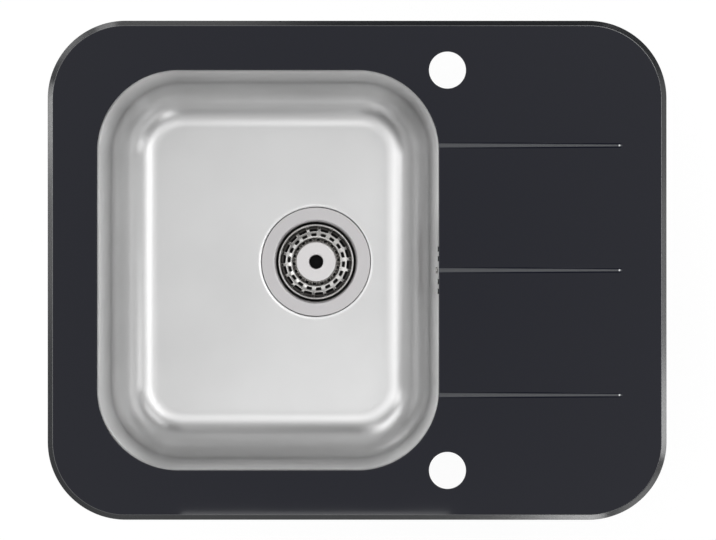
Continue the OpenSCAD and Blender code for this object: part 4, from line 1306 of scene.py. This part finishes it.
@dataclass
class Overflow:
    """The ribbed hose from the overflow box to the waste."""

    dresser: Dresser
    hose_r: float = 12 * MM
    root_r: float = 9.8 * MM
    bore_r: float = 7.6 * MM
    bore_wave: float = 1.2 * MM
    bend_r: float = 45 * MM
    end_at: float = 70 * MM
    cuff: float = 24 * MM
    collar: float = 2.5 * MM
    collar_r: float = 10.9 * MM
    pitch: float = 5 * MM
    flatness: float = 1.5
    sides: int = 40
    rows: int = 520

    def route(self, far: float) -> np.ndarray:
        """The hose's centre line: straight down, a quarter circle, and level to the waste.

        Args:
            far: The distance of its upper end from the drain's axis.

        Returns:
            Rows of distance along, sideways distance from the drain, height, and the two parts of the
            direction.
        """
        start, low_z = node_box("overflow_hose")[1][2], node_box("hose_nut_lower").mean(0)[2]
        drop, bend = start - low_z - self.bend_r, self.bend_r * math.pi / 2
        s = np.linspace(0, drop + bend + far - self.bend_r - self.end_at, self.rows)
        turn = np.clip((s - drop) / self.bend_r, 0, math.pi / 2)
        reach = far - self.bend_r + self.bend_r * np.cos(turn) - np.clip(s - drop - bend, 0, None)
        height = np.where(s < drop, start - s, low_z + self.bend_r * (1 - np.sin(turn)))
        return np.column_stack([s, reach, height, -np.sin(turn), -np.cos(turn)])

    def hose(self) -> None:
        """The corrugated hose: a radius that swells as a flattened wave between two plain cuffs.

        Its rings stand square to the line: centre plus radius times sideways and the direction turned up.
        """
        away = node_box("hose_nut_upper").mean(0)[:2] - DRAIN
        far = float(np.linalg.norm(away))
        away /= far
        line = self.route(far)
        s, total = line[:, 0], line[-1, 0]
        first = (total - math.floor((total - 2 * self.cuff) / self.pitch) * self.pitch) / 2
        wave = 0.5 - 0.5 * np.cos(2 * np.pi * (s - first) / self.pitch)
        wave = np.clip(wave * self.flatness - (self.flatness - 1) / 2, 0, 1)
        wave = np.where((s > first) & (s < total - first), wave, 0)
        outer = np.where(np.minimum(s, total - s) < self.collar, self.collar_r,
                         self.root_r + (self.hose_r - self.root_r) * wave)
        inner = self.bore_r + self.bore_wave * wave
        line = np.concatenate([line, line[::-1]])
        radius = np.concatenate([outer, inner[::-1]])[:, None]
        angle = np.linspace(0, 2 * np.pi, self.sides, endpoint=False)[None]
        side, up = radius * np.sin(angle), radius * np.cos(angle)
        reach, height = line[:, 1:2] - up * line[:, 4:5], line[:, 2:3] + up * line[:, 3:4]
        points = np.stack([DRAIN[0] + reach * away[0] - side * away[1],
                           DRAIN[1] + reach * away[1] + side * away[0], height], -1)
        hose = skin("overflow_ribbed_hose", Patch(points, close_rows=True))
        self.dresser.piece(hose, self.dresser.finishes.hose, ["overflow_hose"])


@dataclass
class Fixings:
    """The screws of the clips that hold the sink to its worktop."""

    dresser: Dresser
    screw_r: float = 2.5 * MM
    head_r: float = 4.5 * MM
    head_h: float = 3.5 * MM
    head_ease: float = 1.2 * MM
    tip_ease: float = 0.9 * MM
    slot_half: tuple[float, float] = (3 * MM, 0.6 * MM)
    slot_depth: float = 1.75 * MM
    pitch: float = 0.8 * MM
    sides: int = 20

    def screw(self, number: int) -> None:
        """One clip's screw: a pan head with a cross slot, and a machine thread up to its tip.

        Args:
            number: The clip's number.
        """
        node = f"clip_screw_{number}"
        low, high = node_box(node)
        centre = ((low + high) / 2)[:2]
        z0, z1, r, head_r, e = low[2], high[2], self.screw_r, self.head_r, self.head_ease
        neck = z0 + self.head_h
        head = eased([(0, z0), (head_r - e, z0), (head_r, z0 + e), (head_r, neck), (r, neck)],
                     0.5 * MM, 3, closed=False)
        head = np.vstack([head, (r, neck + 0.6 * MM)])
        thread = threaded(r, neck + 1 * MM, z1 - 0.4 * MM, self.pitch, centre, self.sides, 5)
        ring = ring_path(centre, self.sides)
        rows = [carry(head, ring), thread, carry(np.array([(r - self.tip_ease, z1), (0, z1)]), ring)]
        screw = skin(f"clip_{number}_screw", Patch(np.concatenate(rows)))
        x, y = self.slot_half
        for turn in (0, 90):
            bar = [(-x, -y), (x, -y), (x, y), (-x, y)]
            combine(screw, prism(bar, z0 - 1 * MM, z0 + self.slot_depth, centre, turn, 0.05 * MM))
        self.dresser.piece(screw, self.dresser.finishes.zinc, [node], node)

    def build(self) -> None:
        """Makes the screws."""
        for number in range(1, CLIPS + 1):
            self.screw(number)


@dataclass
class Studio:
    """A white floor, a pale world, soft lamps above and a camera straight over the sink."""

    floor_z: float
    floor_reach: float = 5.0
    paper: str = "#E8E8E8"
    dim: float = 0.16
    glow: float = 0.9
    camera_at: tuple[float, float, float] = (0.9 * MM, 0.25 * MM, 4.9)
    lens: float = 245.6
    sensor: float = 36.0
    clip: tuple[float, float] = (0.1, 50)
    sky: Sequence[tuple[float, float, float, float]] = (
        (0, 0.429, 0, 0), (9, 0.734, 0.022, 0.007), (18, 0.833, -0.248, 0.585), (28, 0.734, -0.717, 0.016),
        (40, 0.16, 0, -0.16), (54, 0.1, 0, 0.1), (72, 1.092, -0.784, 0.241), (90, 0.5, -0.03, 0.04))
    lamps: Sequence[tuple[str, float, float, tuple[float, float], float]] = (
        ("overhead_front", 270, 13, (9.9, 8), 1.966),
        ("high_right", 0, 20, (15, 8), 2.833),
        ("high_back_right", 45, 20, (15, 8), 2.209),
        ("high_front_right", 315, 20, (15, 8), 1.407),
        ("upper_right", 0, 30, (22.1, 8), 1.201),
        ("upper_left", 180, 30, (22.1, 8), 0.72),
        ("middle_back_right", 45, 40, (28.5, 8), 2.026),
        ("side_right", 0, 54, (36.1, 12), 0.529),
        ("side_back_left", 135, 54, (36.1, 12), 1.531),
        ("side_left", 180, 54, (36.1, 12), 0.253),
        ("side_front", 270, 54, (36.1, 12), 0.417),
        ("side_front_right", 315, 54, (36.1, 12), 0.835),
        ("edge_left_back", 168, 42, (9, 9), 2.75),
        ("edge_left", 176, 42, (9, 9), 0.603),
        ("edge_right_front", 349, 45, (9, 9), 2.5),
        ("edge_right", 358, 45, (9, 9), 0.45),
        ("edge_front_right", 288, 43, (9, 9), 3.1),
        ("edge_back", 98, 43, (9, 9), 0.45),
        ("edge_back_left", 112, 43, (9, 9), 1.6))
    lamp_distance: float = 2.2
    lamp_aim: tuple[float, float, float] = (-0.06, 0.0, -0.1)

    def floor(self) -> None:
        """A wide white sheet that shows as white with the sink's soft shadow on it.

        To the camera, a reflection or a transmission it is a dim sheet with a glow of its own, and to
        any other ray plain paper.
        """
        ends = (-self.floor_reach, self.floor_reach)
        points = np.array([[[x, y, self.floor_z] for x in ends] for y in ends])
        floor = skin("floor", Patch(points, close_columns=False), shading=Shading.ROUND)
        paper = bpy.data.materials.new("white_paper_floor")
        tree = cleared(paper)
        plain = add(tree, "BsdfDiffuse", {"Color": linear(self.paper)})
        dim = add(tree, "BsdfDiffuse", {"Color": (self.dim, self.dim, self.dim, 1)})
        glow = add(tree, "Emission", {"Color": (1, 1, 1, 1), "Strength": self.glow})
        shown = add(tree, "AddShader", {0: dim, 1: glow})
        rays = add(tree, "LightPath").node.outputs
        seen = add(tree, "Math", {0: rays["Is Camera Ray"], 1: rays["Is Glossy Ray"]}, operation="MAXIMUM")
        seen = add(tree, "Math", {0: seen, 1: rays["Is Transmission Ray"]}, operation="MAXIMUM")
        add(tree, "OutputMaterial", {"Surface": add(tree, "MixShader", {0: seen, 1: plain, 2: shown})})
        floor.data.materials.append(paper)

    def world(self) -> None:
        """A pale room: white to the camera, and in light a strength that its angle from straight up gives.

        At each angle the strength is the mean plus the share towards +X times the direction's X plus the
        share towards +Y times its Y, with the direction laid level and made one long. A colour ramp holds
        the mean and, from a middle of a half, the two shares, all over the peak.
        """
        world = bpy.data.worlds.new("pale_room")
        bpy.context.scene.world = world
        tree = cleared(world)
        x, y, z = add(tree, "SeparateXYZ", {0: add(tree, "TexCoord", out="Generated")}).node.outputs
        turned = add(tree, "Math", {0: z}, operation="ARCCOSINE")
        share = add(tree, "Math", {0: turned, 1: math.pi / 2}, operation="DIVIDE")
        peak = max(mean for _, mean, _, _ in self.sky)
        curve = add(tree, "ValToRGB", {0: share}, stops=[
            (angle / 90, (mean / peak, 0.5 + right / peak / 2, 0.5 + back / peak / 2, 1))
            for angle, mean, right, back in self.sky])
        level = add(tree, "VectorMath", {0: add(tree, "CombineXYZ", {0: x, 1: y})}, operation="NORMALIZE")
        right, back, _ = add(tree, "SeparateXYZ", {0: level}).node.outputs
        towards = add(tree, "CombineXYZ", {0: 1.0, 1: right, 2: back})
        amounts = add(tree, "VectorMath", {0: curve, 1: (peak, 2 * peak, 2 * peak), 2: (0, -peak, -peak)},
                      operation="MULTIPLY_ADD")
        room = add(tree, "VectorMath", {0: amounts, 1: towards}, "Value", operation="DOT_PRODUCT")
        plain = add(tree, "Math", {0: room, 1: 0.0}, operation="MAXIMUM")
        strength = add(tree, "Mix", {0: add(tree, "LightPath", out="Is Camera Ray"), 2: plain, 3: 1.0},
                       data_type="FLOAT")
        light = add(tree, "Background", {"Color": (1, 1, 1, 1), "Strength": strength})
        add(tree, "OutputWorld", {"Surface": light})

    def lamp(self, name: str, azimuth: float, off_zenith: float, size: Point, radiance: float) -> None:
        """A rectangular softbox that faces the bowl.

        It stands at the lamp distance from the bowl's middle, in the direction given by two angles.

        Args:
            name: Its name.
            azimuth: Its direction seen from above, in degrees from +X towards +Y.
            off_zenith: Its angle from straight up, in degrees.
            size: Its width across that direction, and its height, as angles in degrees.
            radiance: Its brightness, where white paper in plain light is one.
        """
        turn, lean = math.radians(azimuth), math.radians(off_zenith)
        away = Vector((math.sin(lean) * math.cos(turn), math.sin(lean) * math.sin(turn), math.cos(lean)))
        span = [2 * self.lamp_distance * math.tan(math.radians(angle / 2)) for angle in size]
        light = bpy.data.lights.new(name, "AREA")
        light.shape = "RECTANGLE"
        light.size, light.size_y = span
        light.energy = radiance * math.pi * span[0] * span[1]
        lamp = bpy.data.objects.new(name, light)
        bpy.context.scene.collection.objects.link(lamp)
        lamp.location = Vector(self.lamp_aim) + away * self.lamp_distance
        lamp.rotation_euler = (-away).to_track_quat("-Z", "Y").to_euler()

    def camera(self) -> None:
        """The camera, straight above, looking down with +Y up in the picture."""
        data = bpy.data.cameras.new("plan_camera")
        data.lens, data.sensor_width, data.sensor_fit = self.lens, self.sensor, "HORIZONTAL"
        data.clip_start, data.clip_end = self.clip
        camera = bpy.data.objects.new("plan_camera", data)
        bpy.context.scene.collection.objects.link(camera)
        camera.location = self.camera_at
        bpy.context.scene.camera = camera

    def build(self) -> None:
        """Sets the stage."""
        self.camera()
        self.floor()
        self.world()
        for lamp in self.lamps:
            self.lamp(*lamp)
        bpy.context.scene.view_settings.view_transform = "Standard"


def dress_solids(dresser: Dresser) -> None:
    """Dresses the solids that stay, each in its finish and with edges broken by some tenths of a millimetre.

    Args:
        dresser: What dresses them.
    """
    finishes = dresser.finishes
    kept = {
        finishes.screw: {"clamp_bolt": 0.3, "overflow_screw": 0.15},
        finishes.brass: {"bolt_insert": 0.2},
        finishes.foam: {"flange_gasket": 0.1, "overflow_gasket": 0.2, "edge_seal": 0.3},
        finishes.rubber: {"floor_washer": 0.3, "hose_washers": 0.15},
        finishes.box: {"overflow_housing": 0.8},
        finishes.nut: {"hose_nut_upper": 0.4, "hose_nut_lower": 0.4},
        finishes.rail: {f"rail_{side}": 0.5 for side in ("back", "front", "left", "right")},
        finishes.zinc: {"channel_nuts": 0.4, **{f"clip_arm_{k}": 0.5 for k in range(1, CLIPS + 1)}},
        finishes.bond: {"rail_tapes": 0.1, "bowl_bond": 0.1},
        finishes.pad: {"sound_pad": 0.4}}
    for finish, edges in kept.items():
        for node, edge in edges.items():
            dresser.solid(node, finish, edge * MM)


def main() -> None:
    """Builds the sub-assemblies in order around the solids."""
    logging.basicConfig(level=logging.INFO, format="%(name)s: %(message)s")
    Studio(floor_z=CAD_BOX[0].z - 2 * MM).build()
    dresser = Dresser()
    GlassTop(dresser, *node_box("bowl")).panel()
    Bowl(dresser, *node_box("bowl")).shell()
    Strainer(dresser).build()
    Waste(dresser).body()
    Overflow(dresser).hose()
    Fixings(dresser).build()
    dress_solids(dresser)


if __name__ == "__main__":
    main()
